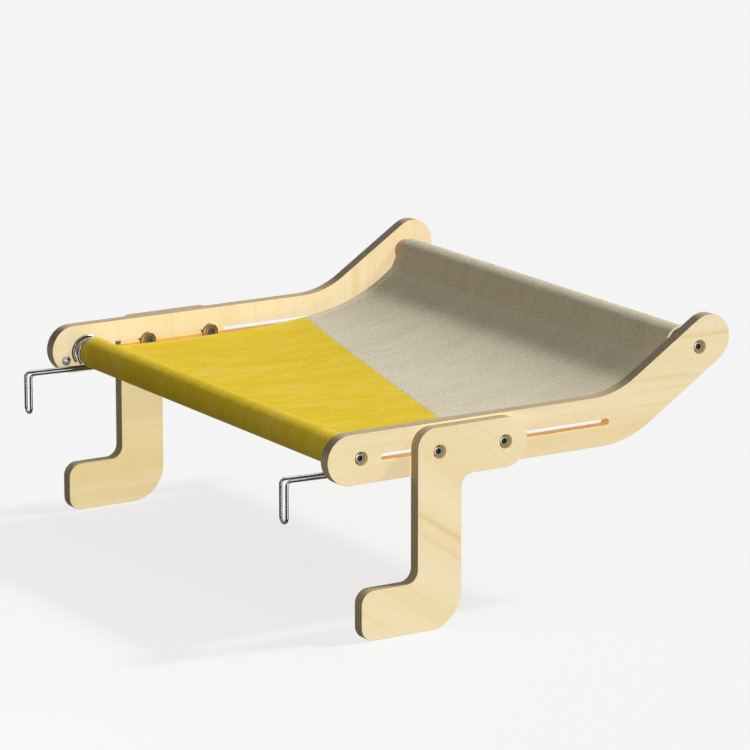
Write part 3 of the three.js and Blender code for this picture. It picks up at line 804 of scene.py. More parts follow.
def hook_wire(steel):
    """One bent wire. The rings' centre is the origin, the arms run to -X."""
    half = steel.wire_spacing / 2
    bm = bmesh.new()
    ring_turn = steel.ring_end + math.pi / 2
    start = Vector((steel.ring * math.cos(steel.ring_end), half, steel.ring * math.sin(steel.ring_end)))
    facing = Matrix.Rotation(-steel.ring_end, 4, "Y")
    section = bmesh.ops.create_circle(bm, cap_ends=True, radius=steel.wire, segments=WIRE_SIDES)
    bmesh.ops.transform(bm, matrix=Matrix.Translation(start) @ facing, verts=section["verts"])
    first = [e for e in bm.edges if e.is_boundary]
    bend = steel.hook_bend
    arm = steel.hook_reach - bend
    down = steel.hook_drop - bend - half
    bend_at = Vector((-arm, 0, -steel.ring - bend))
    upright = Matrix.Rotation(-steel.hook_tilt, 4, "Y")
    drop = upright @ Vector((0, 0, -down))
    bow_at = bend_at + upright @ Vector((-bend, 0, 0)) + drop
    y_axis, x_axis = Vector((0, 1, 0)), Vector((1, 0, 0))
    corner_turn = math.pi / 2 + steel.hook_tilt
    moves = [
        ("bend", Vector((0, half, 0)), y_axis, ring_turn, RING_STEPS),
        ("straight", Vector((-arm, 0, 0))),
        ("bend", bend_at + y_axis * half, -y_axis, corner_turn, BEND_STEPS),
        ("straight", drop),
        ("bend", bow_at, upright @ -x_axis, math.pi, BOW_STEPS),
        ("straight", -drop),
        ("bend", bend_at - y_axis * half, y_axis, corner_turn, BEND_STEPS),
        ("straight", Vector((arm, 0, 0))),
        ("bend", Vector((0, -half, 0)), -y_axis, ring_turn, RING_STEPS),
    ]
    last = sweep(bm, first, moves)
    bmesh.ops.edgeloop_fill(bm, edges=last)
    close_up(bm)
    rims = [e for e in bm.edges if len(e.link_faces) == 2 and e.calc_face_angle() > CORNER]
    bevelled(bm, rims, steel.wire_end, 2)
    set_smooth(bm)
    return bm


def add_bolt(steel, stem, side):
    """A bolt with its head in the counterbore, the crown at the outer end."""
    node = stem + "bolt"
    inner, outer = depths(node, side)
    shank = abs(outer - inner) - steel.head_height
    bm = placed(socket_bolt(steel, shank), outwards(side, axis_at(node), outer - side * steel.head_height))
    # The socket faces take the dark socket plating, which is painted shade in the hex recess.
    materials = [metal_material(bpy.context, kind) for kind in ("bolt", "socket", "zinc")]
    stands_for(finish_mesh(stem + "bolt_steel", as_mesh(bm), materials), node)


def add_sleeve(steel, node, finished, side):
    """A washer or a threaded insert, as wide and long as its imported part."""
    size = extent(node)
    bm = washer_shape(steel.bolt + steel.clearance, size.x / 2, size.y, steel.sides)
    placed(bm, outwards(side, axis_at(node), depths(node, side)[0]))
    stands_for(finish_mesh(finished, as_mesh(bm), [metal_material(bpy.context, "zinc")]), node)


def add_nut(steel, stem, side):
    """A flanged nut against a panel's inner face, its boss inwards."""
    node = stem + "nut"
    size = extent(node)
    bm = flanged_nut(steel, steel.bolt + steel.clearance, size.x / 2, size.y)
    placed(bm, outwards(-side, axis_at(node), depths(node, side)[1]))
    stands_for(finish_mesh(stem + "nut_steel", as_mesh(bm), [metal_material(bpy.context, "nut")]), node)


class CATBED_OT_dowel_fasteners(bpy.types.Operator):
    """Model the bolts, washers and threaded inserts that hold the dowels"""

    bl_idname = "catbed.dowel_fasteners"
    bl_label = "Dowel Fasteners"

    def execute(self, context):
        steel = context.scene.catbed_hardware
        for hand, side in HANDS.items():
            for end in ENDS:
                stem = f"{hand}_{end}_dowel_"
                add_bolt(steel, stem, side)
                add_sleeve(steel, stem + "washer", stem + "washer_steel", side)
                add_sleeve(steel, stem + "insert", stem + "insert_sleeve", side)
        return {"FINISHED"}


class CATBED_OT_bracket_fasteners(bpy.types.Operator):
    """Model the bolts, washers and flanged nuts that clamp the brackets"""

    bl_idname = "catbed.bracket_fasteners"
    bl_label = "Bracket Fasteners"

    def execute(self, context):
        steel = context.scene.catbed_hardware
        for hand, side in HANDS.items():
            for end in ENDS:
                stem = f"{hand}_{end}_bracket_"
                add_bolt(steel, stem, side)
                add_sleeve(steel, stem + "washer", stem + "washer_steel", side)
                add_nut(steel, stem, side)
        return {"FINISHED"}


class CATBED_OT_stop_screws(bpy.types.Operator):
    """Model the domed screws above the hooks' arms"""

    bl_idname = "catbed.stop_screws"
    bl_label = "Stop Screws"

    def execute(self, context):
        steel = context.scene.catbed_hardware
        chrome = metal_material(context, "screw")
        for hand, side in HANDS.items():
            node = hand + "_stop_screw"
            inner, outer = depths(node, side)
            shank = abs(outer - inner) - steel.screw_height
            bm = pan_head_screw(steel, shank)
            placed(bm, outwards(-side, middle(node), inner + side * steel.screw_height))
            stands_for(finish_mesh(node + "_steel", as_mesh(bm), [chrome], SCREW_SHARP), node)
        return {"FINISHED"}


class CATBED_OT_hooks(bpy.types.Operator):
    """Bend the two wire hooks round the ends of the front dowel"""

    bl_idname = "catbed.hooks"
    bl_label = "Hooks"

    def execute(self, context):
        steel = context.scene.catbed_hardware
        chrome = metal_material(context, "wire")
        for hand in HANDS:
            node = hand + "_hook"
            bm = hook_wire(steel)
            place = Matrix.Translation((0, middle(node).y, steel.ring_height))
            placed(bm, place @ Matrix.Rotation(steel.hook_tilt, 4, "Y"))
            stands_for(finish_mesh(hand + "_hook_wire_steel", as_mesh(bm), [chrome]), node)
        return {"FINISHED"}


# Cloth


def heading(angle):
    return Vector((math.cos(angle), 0, math.sin(angle)))


class ClothPath:
    """The line that the middle of the cloth follows in X and Z, from stitching to stitching."""

    def __init__(self, cloth):
        self.cloth = cloth
        self.front_centre = axis_at("front_dowel") + heading(-cloth.front_sag) * cloth.pocket_draw
        self.rear_centre = axis_at("rear_dowel") - heading(cloth.rear_sag) * cloth.pocket_draw
        self.front = self.front_centre + heading(cloth.front_rise) * cloth.pocket_length
        self.rear = self.rear_centre - heading(cloth.rear_dip) * cloth.pocket_length
        span = (self.rear - self.front).length
        self.handles = (
            self.front,
            self.front + heading(-cloth.run_dip) * span * cloth.front_share,
            self.rear - heading(cloth.run_rise) * span * cloth.rear_share,
            self.rear,
        )
        self.points = [self.at(i / PATH_STEPS) for i in range(PATH_STEPS + 1)]
        self.lengths = [0.0]
        for a, b in zip(self.points, self.points[1:]):
            self.lengths.append(self.lengths[-1] + (b - a).length)

    def at(self, t):
        a, b, c, d = self.handles
        s = 1 - t
        return a * s**3 + b * 3 * s * s * t + c * 3 * s * t * t + d * t**3

    def along(self, distance):
        """Place and direction at a distance from the front stitching."""
        distance = min(max(distance, 0.0), self.lengths[-1])
        last = len(self.lengths) - 1
        i = next((k for k in range(1, last) if self.lengths[k] >= distance), last)
        part = (distance - self.lengths[i - 1]) / (self.lengths[i] - self.lengths[i - 1])
        a, b = self.points[i - 1], self.points[i]
        return a.lerp(b, part), (b - a).normalized()

    def distance_at(self, x):
        """How far along the run a place in X is."""
        i = next(k for k in range(1, len(self.points)) if self.points[k].x >= x)
        a, b = self.points[i - 1], self.points[i]
        return self.lengths[i - 1] + (self.lengths[i] - self.lengths[i - 1]) * (x - a.x) / (b.x - a.x)

    def pocket(self, end):
        """A pocket's loop from its stitching over the dowel and back, and the tail under the run."""
        cloth = self.cloth
        front = end == "front"
        centre, stitching = (self.front_centre, self.front) if front else (self.rear_centre, self.rear)
        towards = stitching - centre
        base = math.atan2(towards.z, towards.x)
        spread = math.acos(cloth.pocket / cloth.pocket_length)
        way_round = 1 if front else -1
        loop = []
        for k in range(POCKET_STEPS + 1):
            part = spread + 2 * (math.pi - spread) * k / POCKET_STEPS
            loop.append(centre + heading(base + way_round * part) * cloth.pocket)
        direction = heading(-cloth.run_dip) if front else -heading(cloth.run_rise)
        down = Vector((direction.z, 0, -direction.x)) * way_round
        joint = stitching + down * (cloth.thickness + cloth.tail_gap)
        upper = [stitching.lerp(loop[0], k / FLANK_STEPS) for k in range(1, FLANK_STEPS)]
        lower = [loop[-1].lerp(joint, k / FLANK_STEPS) for k in range(1, FLANK_STEPS)]
        tail = [joint + direction * cloth.tail * k / TAIL_STEPS for k in range(1, TAIL_STEPS + 1)]
        return upper + loop + lower + tail

    def run_ends(self, end, across):
        """How far along the run one cloth starts at the seam, and where its own stitching is."""
        cloth = self.cloth
        share_across = (across + cloth.half_width) / (2 * cloth.half_width)
        seam = cloth.seam_right + (cloth.seam_left - cloth.seam_right) * share_across
        edge = self.distance_at(seam + (-1 if end == "front" else 1) * cloth.seam_gap / 2)
        return edge, 0.0 if end == "front" else self.lengths[-1]

    def ripple(self, place, part):
        """Slight waves of the stretched cloth between seam and stitching."""
        wave = noise.noise(Vector((place.x * WAVES_ALONG, place.y * WAVES_ACROSS, WAVES_AT)))
        return self.cloth.ripple * wave * math.sin(math.pi * part)

    def sheet_line(self, end, across):
        """Points of one cloth at a place across the width, from the seam to the turned tail."""
        edge, goal = self.run_ends(end, across)
        run = []
        for k in range(RUN_STEPS + 1):
            place, _ = self.along(edge + (goal - edge) * k / RUN_STEPS)
            run.append(place)
        return run + self.pocket(end)


def sheet_mesh(cloth, end):
    """One cloth as a thin surface with its own UV map in metres, and each point's distance from its side."""
    path = ClothPath(cloth)
    lines = []
    for j in range(COLUMNS + 1):
        # Columns crowd together near the hems, so their edge stays crisp.
        across = cloth.half_width * math.sin(math.pi / 2 * (2 * j / COLUMNS - 1))
        lines.append((across, path.sheet_line(end, across)))
    rows = len(lines[0][1])
    bm = bmesh.new()
    uv = bm.loops.layers.uv.new("cloth")
    bmesh.ops.create_grid(bm, x_segments=COLUMNS, y_segments=rows - 1, size=0.5)
    bm.verts.ensure_lookup_table()
    places = {}
    for vert in bm.verts:
        j = round((vert.co.x + 0.5) * COLUMNS)
        i = round((vert.co.y + 0.5) * (rows - 1))
        across, line = lines[j]
        places[vert] = (i, j)
        point = line[i].copy()
        point.y = across
        vert.co = point
    reach = []
    for across, line in lines:
        distances = [0.0]
        for a, b in zip(line, line[1:]):
            distances.append(distances[-1] + (b - a).length)
        # Measured from the tail, so that threads run straight across the seam's slant.
        reach.append([distances[-1] - d for d in distances])
    for face in bm.faces:
        face.smooth = True
        for loop in face.loops:
            i, j = places[loop.vert]
            loop[uv].uv = (reach[j][i], lines[j][0])
    for vert, (i, j) in places.items():
        if 0 < i < RUN_STEPS:
            vert.co.z += path.ripple(vert.co, i / RUN_STEPS)
    inside = {vert.index: cloth.half_width - abs(lines[j][0]) for vert, (_, j) in places.items()}
    if end == "front":
        bmesh.ops.reverse_faces(bm, faces=bm.faces)
    mesh = bpy.data.meshes.new(end + "_cloth")
    bm.to_mesh(mesh)
    bm.free()
    return mesh, inside


def add_stitch(bm, cloth, place, along, normal):
    """One small stitch that lies on the cloth."""
    basis = Matrix((along, normal.cross(along), normal)).transposed().to_4x4()
    size = Matrix.Diagonal((cloth.stitch / 2, cloth.thread, cloth.thread, 1))
    matrix = Matrix.Translation(place) @ basis @ size
    bmesh.ops.create_uvsphere(bm, u_segments=STITCH_SIDES, v_segments=STITCH_RINGS, radius=1, matrix=matrix)


def stitching(cloth, end):
    """Stitches along both hems of one cloth and beside its pocket."""
    path = ClothPath(cloth)
    bm = bmesh.new()
    pitch = cloth.stitch + cloth.stitch_gap
    lift = cloth.hem_thickness / 2
    for side in HANDS.values():
        across = side * (cloth.half_width - cloth.hem_width + cloth.hem_line)
        edge, goal = path.run_ends(end, across)
        distance = min(edge, goal) + pitch
        while distance < max(edge, goal) - pitch:
            place, along = path.along(distance)
            place.y = across
            place.z += path.ripple(place, (distance - edge) / (goal - edge))
            normal = Vector((-along.z, 0, along.x))
            add_stitch(bm, cloth, place + normal * lift, along, normal)
            distance += pitch
    distance = cloth.seam_line if end == "front" else path.lengths[-1] - cloth.seam_line
    place, along = path.along(distance)
    normal = Vector((-along.z, 0, along.x))
    across = -cloth.half_width + cloth.hem_width + pitch
    while across < cloth.half_width - cloth.hem_width - pitch:
        spot = Vector((place.x, across, place.z)) + normal * (cloth.thickness / 2)
        add_stitch(bm, cloth, spot, Vector((0, 1, 0)), normal)
        across += pitch
    set_smooth(bm)
    return bm


def thicken(piece, cloth):
    """Gives a cloth its thickness, more at the hems, and eased edges."""
    shell = piece.modifiers.new("thickness", "SOLIDIFY")
    shell.thickness = cloth.hem_thickness
    shell.offset = 0
    shell.vertex_group = "hem"
    shell.use_even_offset = True
    edge = piece.modifiers.new("edge", "BEVEL")
    edge.width = cloth.fold
    edge.segments = 2
    edge.limit_method = "ANGLE"
    edge.angle_limit = CORNER


class CATBED_OT_cloths(bpy.types.Operator):
    """Stretch the yellow and grey cloths between the dowels, hemmed and sewn into pockets"""

    bl_idname = "catbed.cloths"
    bl_label = "Cloths"

    def execute(self, context):
        cloth = context.scene.catbed_cloth
        for end, hue in (("front", "yellow"), ("rear", "grey")):
            mesh, inside = sheet_mesh(cloth, end)
            node = end + "_cloth"
            piece = finish_mesh(end + "_sheet", mesh, [cloth_material(context, hue)], CLOTH_SHARP)
            hem = piece.vertex_groups.new(name="hem")
            plain = cloth.thickness / cloth.hem_thickness
            for index, distance in inside.items():
                blend = min(max((cloth.hem_width - distance) / cloth.hem_fade, 0), 1)
                hem.add([index], plain + (1 - plain) * blend, "REPLACE")
            thicken(piece, cloth)
            stands_for(piece, node)
            thread = [thread_material(context, hue)]
            sewn = finish_mesh(end + "_stitching", as_mesh(stitching(cloth, end)), thread, CLOTH_SHARP)
            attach(sewn, BODY_OF[node])
        return {"FINISHED"}


# Material helpers

# Places of the colour sockets of a Mix node.
MIX_FACTOR, MIX_FIRST, MIX_SECOND, MIX_RESULT = 0, 6, 7, 2

# Noise in the finishes: repeats per metre along X, Y and Z, then detail, roughness and distortion.
PATTERNS = {
    "grain bands": ((2.2, 14, 34), 2, 0.5, 0.4),
    "grain lines": ((4, 60, 230), 4, 0.6, 0.25),
    "grain flecks": ((160, 400, 760), 1, 0.5, 0),
    "grain specks": ((420, 620, 620), 3, 0.7, 0),
    "streak sway": ((30, 0, 0), 1, 0.5, 0),
    "streak threads": ((8, 0, 900), 2, 0.5, 0),
    "ply wander": ((40, 10, 40), 2, 0.5, 0),
    "ply pores": ((900, 900, 900), 2, 0.5, 0),
    "cloth warp": ((260, 900, 1), 2, 0.6, 0),
    "cloth weft": ((900, 260, 1), 2, 0.6, 0),
    "cloth specks": ((420, 420, 1), 3, 0.75, 0),
    "cloth clouds": ((10, 36, 1), 4, 0.6, 0.8),
    "cloth streaks": ((30, 150, 1), 3, 0.65, 0),
    "thread twist": ((2600, 2600, 2600), 1, 0.5, 0),
    "metal smudges": ((180, 180, 180), 3, 0.5, 0),
    "metal scratches": ((300, 2600, 2600), 2, 0.5, 0),
}

# Masks made from a value: where a mask starts and where it is full, then what it gives at both.
MASKS = {
    "grain bands": (0.46, 0.68, 0, 0.6),
    "grain hollows": (0.48, 0.3, 0, 0.26),
    "grain lines": (0.5, 0.74, 0, 0.5),
    "grain flecks": (0.62, 0.74, 0, 0.3),
    "grain specks": (0.38, 0.64, 0, 0.24),
    "grain roughness": (0.3, 0.7, 0.5, 0.66),
    "streak sway": (0, 1, -0.0015, 0.0015),
    "streak sides": (0.35, 1, 1, 0),
    "streak ends": (0, 0.012),
    "streak threads": (0.3, 0.6, 0.55, 1),
    "ply wander": (0, 1, -0.08, 0.08),
    "ply turns": (0.22, 0.28),
    "ply glue": (0.4, 0.49),
    "ply pores": (0.35, 0.75, 0, 0.35),
    "ply roughness": (0.3, 0.7, 0.62, 0.8),
    # Masks of the painted bounce light beside a panel.
    "painted bounce strip": (0, 0.0005),
    "painted bounce height": (0, 0.004),
    # Masks of the painted shade on slanting panel edges.
    "slant below level": (0.97, 0.87),
    "slant above upright": (0.1, 0.5),
    "cloth pale clouds": (0.49, 0.6),
    "cloth deep clouds": (0.51, 0.4),
    "cloth pale specks": (0.49, 0.57),
    "cloth deep specks": (0.48, 0.4),
    "cloth painted gap shade": (0.5, 0.05, 0, 0.2),
    "cloth roughness": (0.3, 0.7, 0.86, 0.98),
    "thread twist": (0.35, 0.65),
    "thread roughness": (0.3, 0.7, 0.6, 0.8),
    # Masks of the painted reflections on metal: paler tops and undersides, warm sides, a bright line and a
    # highlight spot.
    "painted metal tops": (0.2, 0.75),
    "painted metal undersides": (-0.3, -0.85, 0, 0.6),
    "painted metal sides": (-0.2, -0.6),
    "painted metal line": (0.984, 0.996),
    "metal glint": (0.86, 0.95),
    "metal smudges": (0.4, 0.7, 0, 0.3),
    "metal roughness": (0.3, 0.7),
}

# Strength and depth of the relief of each finish, and how much it shines.
RELIEFS = {
    "veneer": (0.12, 0.0002, 0.3),
    "ply edge": (0.3, 0.0002, 0.2),
    "cut wall": (0.3, 0.0002, 0.5),
    "dowel": (0.3, 0.0003, 0.5),
    "cloth": (0.35, 0.0003, 0.1),
    "metal": (0.04, 0.0001, 0.5),
}


def set_input(tree, socket, value):
    """Gives an input another node's socket, a number, a vector or a colour."""
    if isinstance(value, bpy.types.NodeSocket):
        tree.links.new(value, socket)
    else:
        socket.default_value = (*value, 1) if isinstance(value, Color) else value


def add_node(tree, kind, inputs=(), **settings):
    """A shader node with settings, whose inputs take values or other nodes' sockets."""
    new = tree.nodes.new("ShaderNode" + kind)
    for key, value in settings.items():
        setattr(new, key, value)
    for key, value in dict(inputs).items():
        set_input(tree, new.inputs[key], value)
    return new


def vector_value(tree, operation, first, second):
    return add_node(tree, "VectorMath", {0: first, 1: second}, operation=operation).outputs


def split_vector(tree, vector):
    return add_node(tree, "SeparateXYZ", {0: vector}).outputs


def noise_value(tree, vector, pattern):
    """A noise by its name in PATTERNS."""
    scales, detail, roughness, distortion = PATTERNS[pattern]
    inputs = {"Vector": vector_value(tree, "MULTIPLY", vector, scales)[0], "Scale": 1}
    inputs.update({"Detail": detail, "Roughness": roughness, "Distortion": distortion})
    return add_node(tree, "TexNoise", inputs).outputs["Fac"]


def ranged(tree, value, low, high, to_low=0, to_high=1):
    inputs = {"Value": value, "From Min": low, "From Max": high, "To Min": to_low, "To Max": to_high}
    return add_node(tree, "MapRange", inputs, clamp=True).outputs["Result"]


def masked(tree, value, mask):
    """A mask by its name in MASKS."""
    return ranged(tree, value, *MASKS[mask])


def math_value(tree, operation, first, second=0, clamp=False):
    return add_node(tree, "Math", {0: first, 1: second}, operation=operation, use_clamp=clamp).outputs[0]


def times(tree, first, second):
    return math_value(tree, "MULTIPLY", first, second)


def plus(tree, first, second, clamp=False):
    return math_value(tree, "ADD", first, second, clamp)


def minus(tree, first, second):
    return math_value(tree, "SUBTRACT", first, second)


def size_of(tree, value):
    return math_value(tree, "ABSOLUTE", value)


def off_middle(tree, value):
    """How far the fraction of a value is from one half."""
    return size_of(tree, minus(tree, math_value(tree, "FRACT", value), 0.5))


def mixed(tree, factor, first, second):
    inputs = {MIX_FACTOR: factor, MIX_FIRST: first, MIX_SECOND: second}
    return add_node(tree, "Mix", inputs, data_type="RGBA").outputs[MIX_RESULT]


def shared_group(name, inputs, outputs, build):
    """A node group made once and found again. Each input has its kind, or a number to start with."""
    found = bpy.data.node_groups.get(name)
    if found:
        return found
    tree = bpy.data.node_groups.new(name, "ShaderNodeTree")
    for label, given in inputs.items():
        kind = given if isinstance(given, str) else "Float"
        socket = tree.interface.new_socket(label, in_out="INPUT", socket_type="NodeSocket" + kind)
        if given != kind:
            socket.default_value = given
    for label in outputs:
        kind = "Color" if label == "Color" else "Float"
        tree.interface.new_socket(label, in_out="OUTPUT", socket_type="NodeSocket" + kind)
    entry = tree.nodes.new("NodeGroupInput")
    leaving = tree.nodes.new("NodeGroupOutput")
    for label, socket in build(tree, entry.outputs).items():
        tree.links.new(socket, leaving.inputs[label])
    return tree


def use_group(tree, group, inputs):
    return add_node(tree, "Group", inputs, node_tree=group).outputs


# Groups for the effects that several materials share

FINISH = ("Color", "Roughness", "Height")
GRAIN_DEPTH = 0.6  # of the dark lines, as a share of the relief
GLUE_COVER = 0.75  # how much of the wood the glue hides
PORE_DEPTH = 0.4  # of the pores beside the glue lines
# Near black, for the painted shade on slanting panel edges.
PAINTED_SLANT_SHADE = Color((0.02, 0.02, 0.02))
WEAVE_DEPTH = 0.35  # of the threads that cross over
SPECKLE_SHARES = {"warp": 0.25, "weft": 0.25, "specks": 0.5}
CLOUD_SHARES = {"clouds": 0.6, "streaks": 0.4}
# Directions in which metal faces get a painted highlight line and a painted highlight spot.
PAINTED_LINE_FACING = (-0.25, -0.97, 0)
PAINTED_GLINT_FACING = (0.4, -0.69, 0.6)


def grain_group():
    """Veneer with pale and deep bands, lines, flecks and fine specks."""

    def build(tree, given):
        vector = vector_value(tree, "ADD", given["Vector"], given["Seed"])[0]
        kinds = ("bands", "lines", "flecks", "specks")
        bands, lines, flecks, specks = (noise_value(tree, vector, "grain " + kind) for kind in kinds)
        tone = mixed(tree, masked(tree, bands, "grain bands"), given["Face"], given["Band"])
        for value, mask in ((bands, "grain hollows"), (lines, "grain lines"), (flecks, "grain flecks")):
            amount = times(tree, masked(tree, value, mask), given["Contrast"])
            tone = mixed(tree, amount, tone, given["Line"])
        tone = mixed(tree, masked(tree, specks, "grain specks"), tone, given["Line"])
        height = minus(tree, 1, times(tree, lines, GRAIN_DEPTH))
        return {"Color": tone, "Roughness": masked(tree, lines, "grain roughness"), "Height": height}

    colours = dict.fromkeys(("Face", "Line", "Band"), "Color")
    inputs = {"Vector": "Vector", **colours, "Contrast": 1.0, "Seed": 0.0}
    return shared_group("Wood grain", inputs, FINISH, build)


def streak_group():
    """A streak along X that sways a little and fades at its sides and ends."""

    def build(tree, given):
        vector = given["Vector"]
        along, _, across = split_vector(tree, vector)
        sway = masked(tree, noise_value(tree, vector, "streak sway"), "streak sway")
        off = minus(tree, plus(tree, across, sway), given["Place"])
        near = math_value(tree, "DIVIDE", size_of(tree, off), given["Width"])
        mask = masked(tree, near, "streak sides")
        after = masked(tree, minus(tree, along, given["Start"]), "streak ends")
        before = masked(tree, minus(tree, given["End"], along), "streak ends")
        threads = masked(tree, noise_value(tree, vector, "streak threads"), "streak threads")
        for factor in (times(tree, after, before), threads, given["Strength"]):
            mask = times(tree, mask, factor)
        return {"Mask": mask}

    inputs = {"Vector": "Vector", **dict.fromkeys(("Place", "Width", "Start", "End", "Strength"), 0.0)}
    return shared_group("Golden streak", inputs, ("Mask",), build)


def ply_group():
    """Plies with glue between them, a strip of painted bounce light at the inner face and painted shade where
    the edge slants.
    """

    def build(tree, given):
        vector = given["Vector"]
        _, across, height = split_vector(tree, vector)
        depth = minus(tree, size_of(tree, across), given["Inner Face"])
        wander = masked(tree, noise_value(tree, vector, "ply wander"), "ply wander")
        layer = plus(tree, math_value(tree, "DIVIDE", depth, given["Ply"]), wander)
        other = masked(tree, off_middle(tree, times(tree, layer, 0.5)), "ply turns")
        glue = masked(tree, off_middle(tree, layer), "ply glue")
        pores = noise_value(tree, vector, "ply pores")
        # Painted bounce light in a strip along the inner face.
        strip = masked(tree, minus(tree, given["Warm Width"], depth), "painted bounce strip")
        strip = times(tree, strip, masked(tree, height, "painted bounce height"))
        # Painted shade where the edge slants between level and upright.
        rise = split_vector(tree, given["Normal"])[2]
        below, above = (masked(tree, rise, "slant " + kind) for kind in ("below level", "above upright"))
        slant = times(tree, times(tree, below, above), given["Slope Shade"])
        tone = mixed(tree, other, given["Light"], given["Dark"])
        tone = mixed(tree, masked(tree, pores, "ply pores"), tone, given["Glue"])
        tone = mixed(tree, times(tree, glue, GLUE_COVER), tone, given["Glue"])
        tone = mixed(tree, strip, tone, given["Warm"])
        tone = mixed(tree, slant, tone, PAINTED_SLANT_SHADE)
        relief = minus(tree, 1, plus(tree, glue, times(tree, pores, PORE_DEPTH)))
        return {"Color": tone, "Roughness": masked(tree, pores, "ply roughness"), "Height": relief}

    colours = dict.fromkeys(("Light", "Dark", "Glue", "Warm"), "Color")
    lengths = dict.fromkeys(("Inner Face", "Ply", "Warm Width", "Slope Shade"), 0.0)
    inputs = {"Vector": "Vector", "Normal": "Vector", **colours, **lengths}
    return shared_group("Ply layers", inputs, FINISH, build)


def weave_group():
    """Plain weave with uneven threads, paler and deeper clouds, and painted shade in the gaps between
    threads.
    """

    def blended(tree, vector, shares):
        total = 0
        for kind, amount in shares.items():
            part = times(tree, noise_value(tree, vector, "cloth " + kind), amount)
            total = plus(tree, part, total)
        return total

    def build(tree, given):
        vector = given["Vector"]
        pitch = math_value(tree, "DIVIDE", math.pi, given["Thread"])
        along, across, _ = split_vector(tree, vector)
        warp, weft = (math_value(tree, "SINE", times(tree, axis, pitch)) for axis in (along, across))
        level = times(tree, plus(tree, size_of(tree, warp), size_of(tree, weft)), 0.5)
        height = plus(tree, times(tree, times(tree, warp, weft), WEAVE_DEPTH), level)
        speckle = blended(tree, vector, SPECKLE_SHARES)
        cloud = blended(tree, vector, CLOUD_SHARES)
        tone = given["Body"]
        for shade in ("Pale", "Deep"):
            clouds = masked(tree, cloud, f"cloth {shade.lower()} clouds")
            tone = mixed(tree, times(tree, clouds, given["Cloud"]), tone, given[shade])
        for shade in ("Pale", "Deep"):
            tone = mixed(tree, masked(tree, speckle, f"cloth {shade.lower()} specks"), tone, given[shade])
        # Painted shade in the low gaps between threads.
        tone = mixed(tree, masked(tree, level, "cloth painted gap shade"), tone, given["Deep"])
        return {"Color": tone, "Roughness": masked(tree, speckle, "cloth roughness"), "Height": height}

    colours = dict.fromkeys(("Body", "Pale", "Deep"), "Color")
    inputs = {"Vector": "Vector", **colours, "Thread": 0.001, "Cloud": 1.0}
    return shared_group("Woven cloth", inputs, FINISH, build)


def painted_reflections_group():
    """Polished plating with painted reflections: dark, with painted paler tops and undersides, painted warm
    sides, a painted bright line and a painted highlight spot, each by the way the face points.
    """

    def build(tree, given):
        normal = given["Normal"]
        along, _, up = split_vector(tree, normal)
        tops = times(tree, masked(tree, up, "painted metal tops"), given["Tops"])
        lows = masked(tree, up, "painted metal undersides")
        sides = times(tree, masked(tree, along, "painted metal sides"), given["Sides"])
        line = masked(tree, vector_value(tree, "DOT_PRODUCT", normal, PAINTED_LINE_FACING)["Value"], "painted metal line")
        painted_glint = masked(tree, vector_value(tree, "DOT_PRODUCT", normal, PAINTED_GLINT_FACING)["Value"], "metal glint")
        # Painted reflections and highlights laid over the dark plating.
        tone = given["Dark"]
        shades = ("Mid", "Mid", "Side", "Bright", "Bright")
        for mask, shade in zip((tops, lows, sides, line, painted_glint), shades):
            tone = mixed(tree, mask, tone, given[shade])
        return {"Color": tone}

    colours = dict.fromkeys(("Dark", "Mid", "Bright", "Side"), "Color")
    inputs = {"Normal": "Vector", **colours, "Tops": 1.0, "Sides": 0.0}
    return shared_group("Plating", inputs, ("Color",), build)


# Materials


def new_material(name):
    material = bpy.data.materials.new(name)
    material.use_nodes = True
    tree = material.node_tree
    surface = next(n for n in tree.nodes if n.type == "BSDF_PRINCIPLED")
    return material, tree, surface


def connect(tree, surface, outputs, finish):
    """Feeds colour, roughness and height to the surface, with the finish's relief and shine."""
    strength, depth, shine = RELIEFS[finish]
    relief = add_node(tree, "Bump", {"Height": outputs["Height"], "Strength": strength, "Distance": depth})
    set_input(tree, surface.inputs["Base Color"], outputs["Color"])
    set_input(tree, surface.inputs["Roughness"], outputs["Roughness"])
    set_input(tree, surface.inputs["Normal"], relief.outputs["Normal"])
    set_input(tree, surface.inputs["Specular IOR Level"], shine)


def object_vector(tree, rotation=(0, 0, 0)):
    source = add_node(tree, "TexCoord").outputs["Object"]
    return add_node(tree, "Mapping", {"Vector": source, "Rotation": rotation}).outputs[0]


def veneer_material(wood, stem, grain_turn, seed, contrast, streaks):
    """Face veneer, its grain turned as on this piece."""
    material, tree, surface = new_material(stem + " veneer")
    vector = object_vector(tree, rotation=(0, -grain_turn, 0))
    face = wood.face_left if stem == "left_bracket" else wood.face
    inputs = {"Vector": vector, "Face": face, "Line": wood.line, "Band": wood.band}
    inputs.update({"Contrast": contrast, "Seed": seed})
    outputs = use_group(tree, grain_group(), inputs)
    connect(tree, surface, outputs, "veneer")
    tone = outputs["Color"]
    for streak in streaks:
        inputs = dict(zip(("Place", "Width", "Start", "End", "Strength"), streak), Vector=vector)
        tone = mixed(tree, use_group(tree, streak_group(), inputs)["Mask"], tone, wood.streak)
    set_input(tree, surface.inputs["Base Color"], tone)
    return material


def ply_layers(tree, wood, inner, inputs):
    """The layers of a plate whose inner face lies at that depth."""
    place = {"Vector": object_vector(tree), "Inner Face": abs(inner), "Ply": wood.stock / wood.plies}
    return use_group(tree, ply_group(), {**place, **inputs})


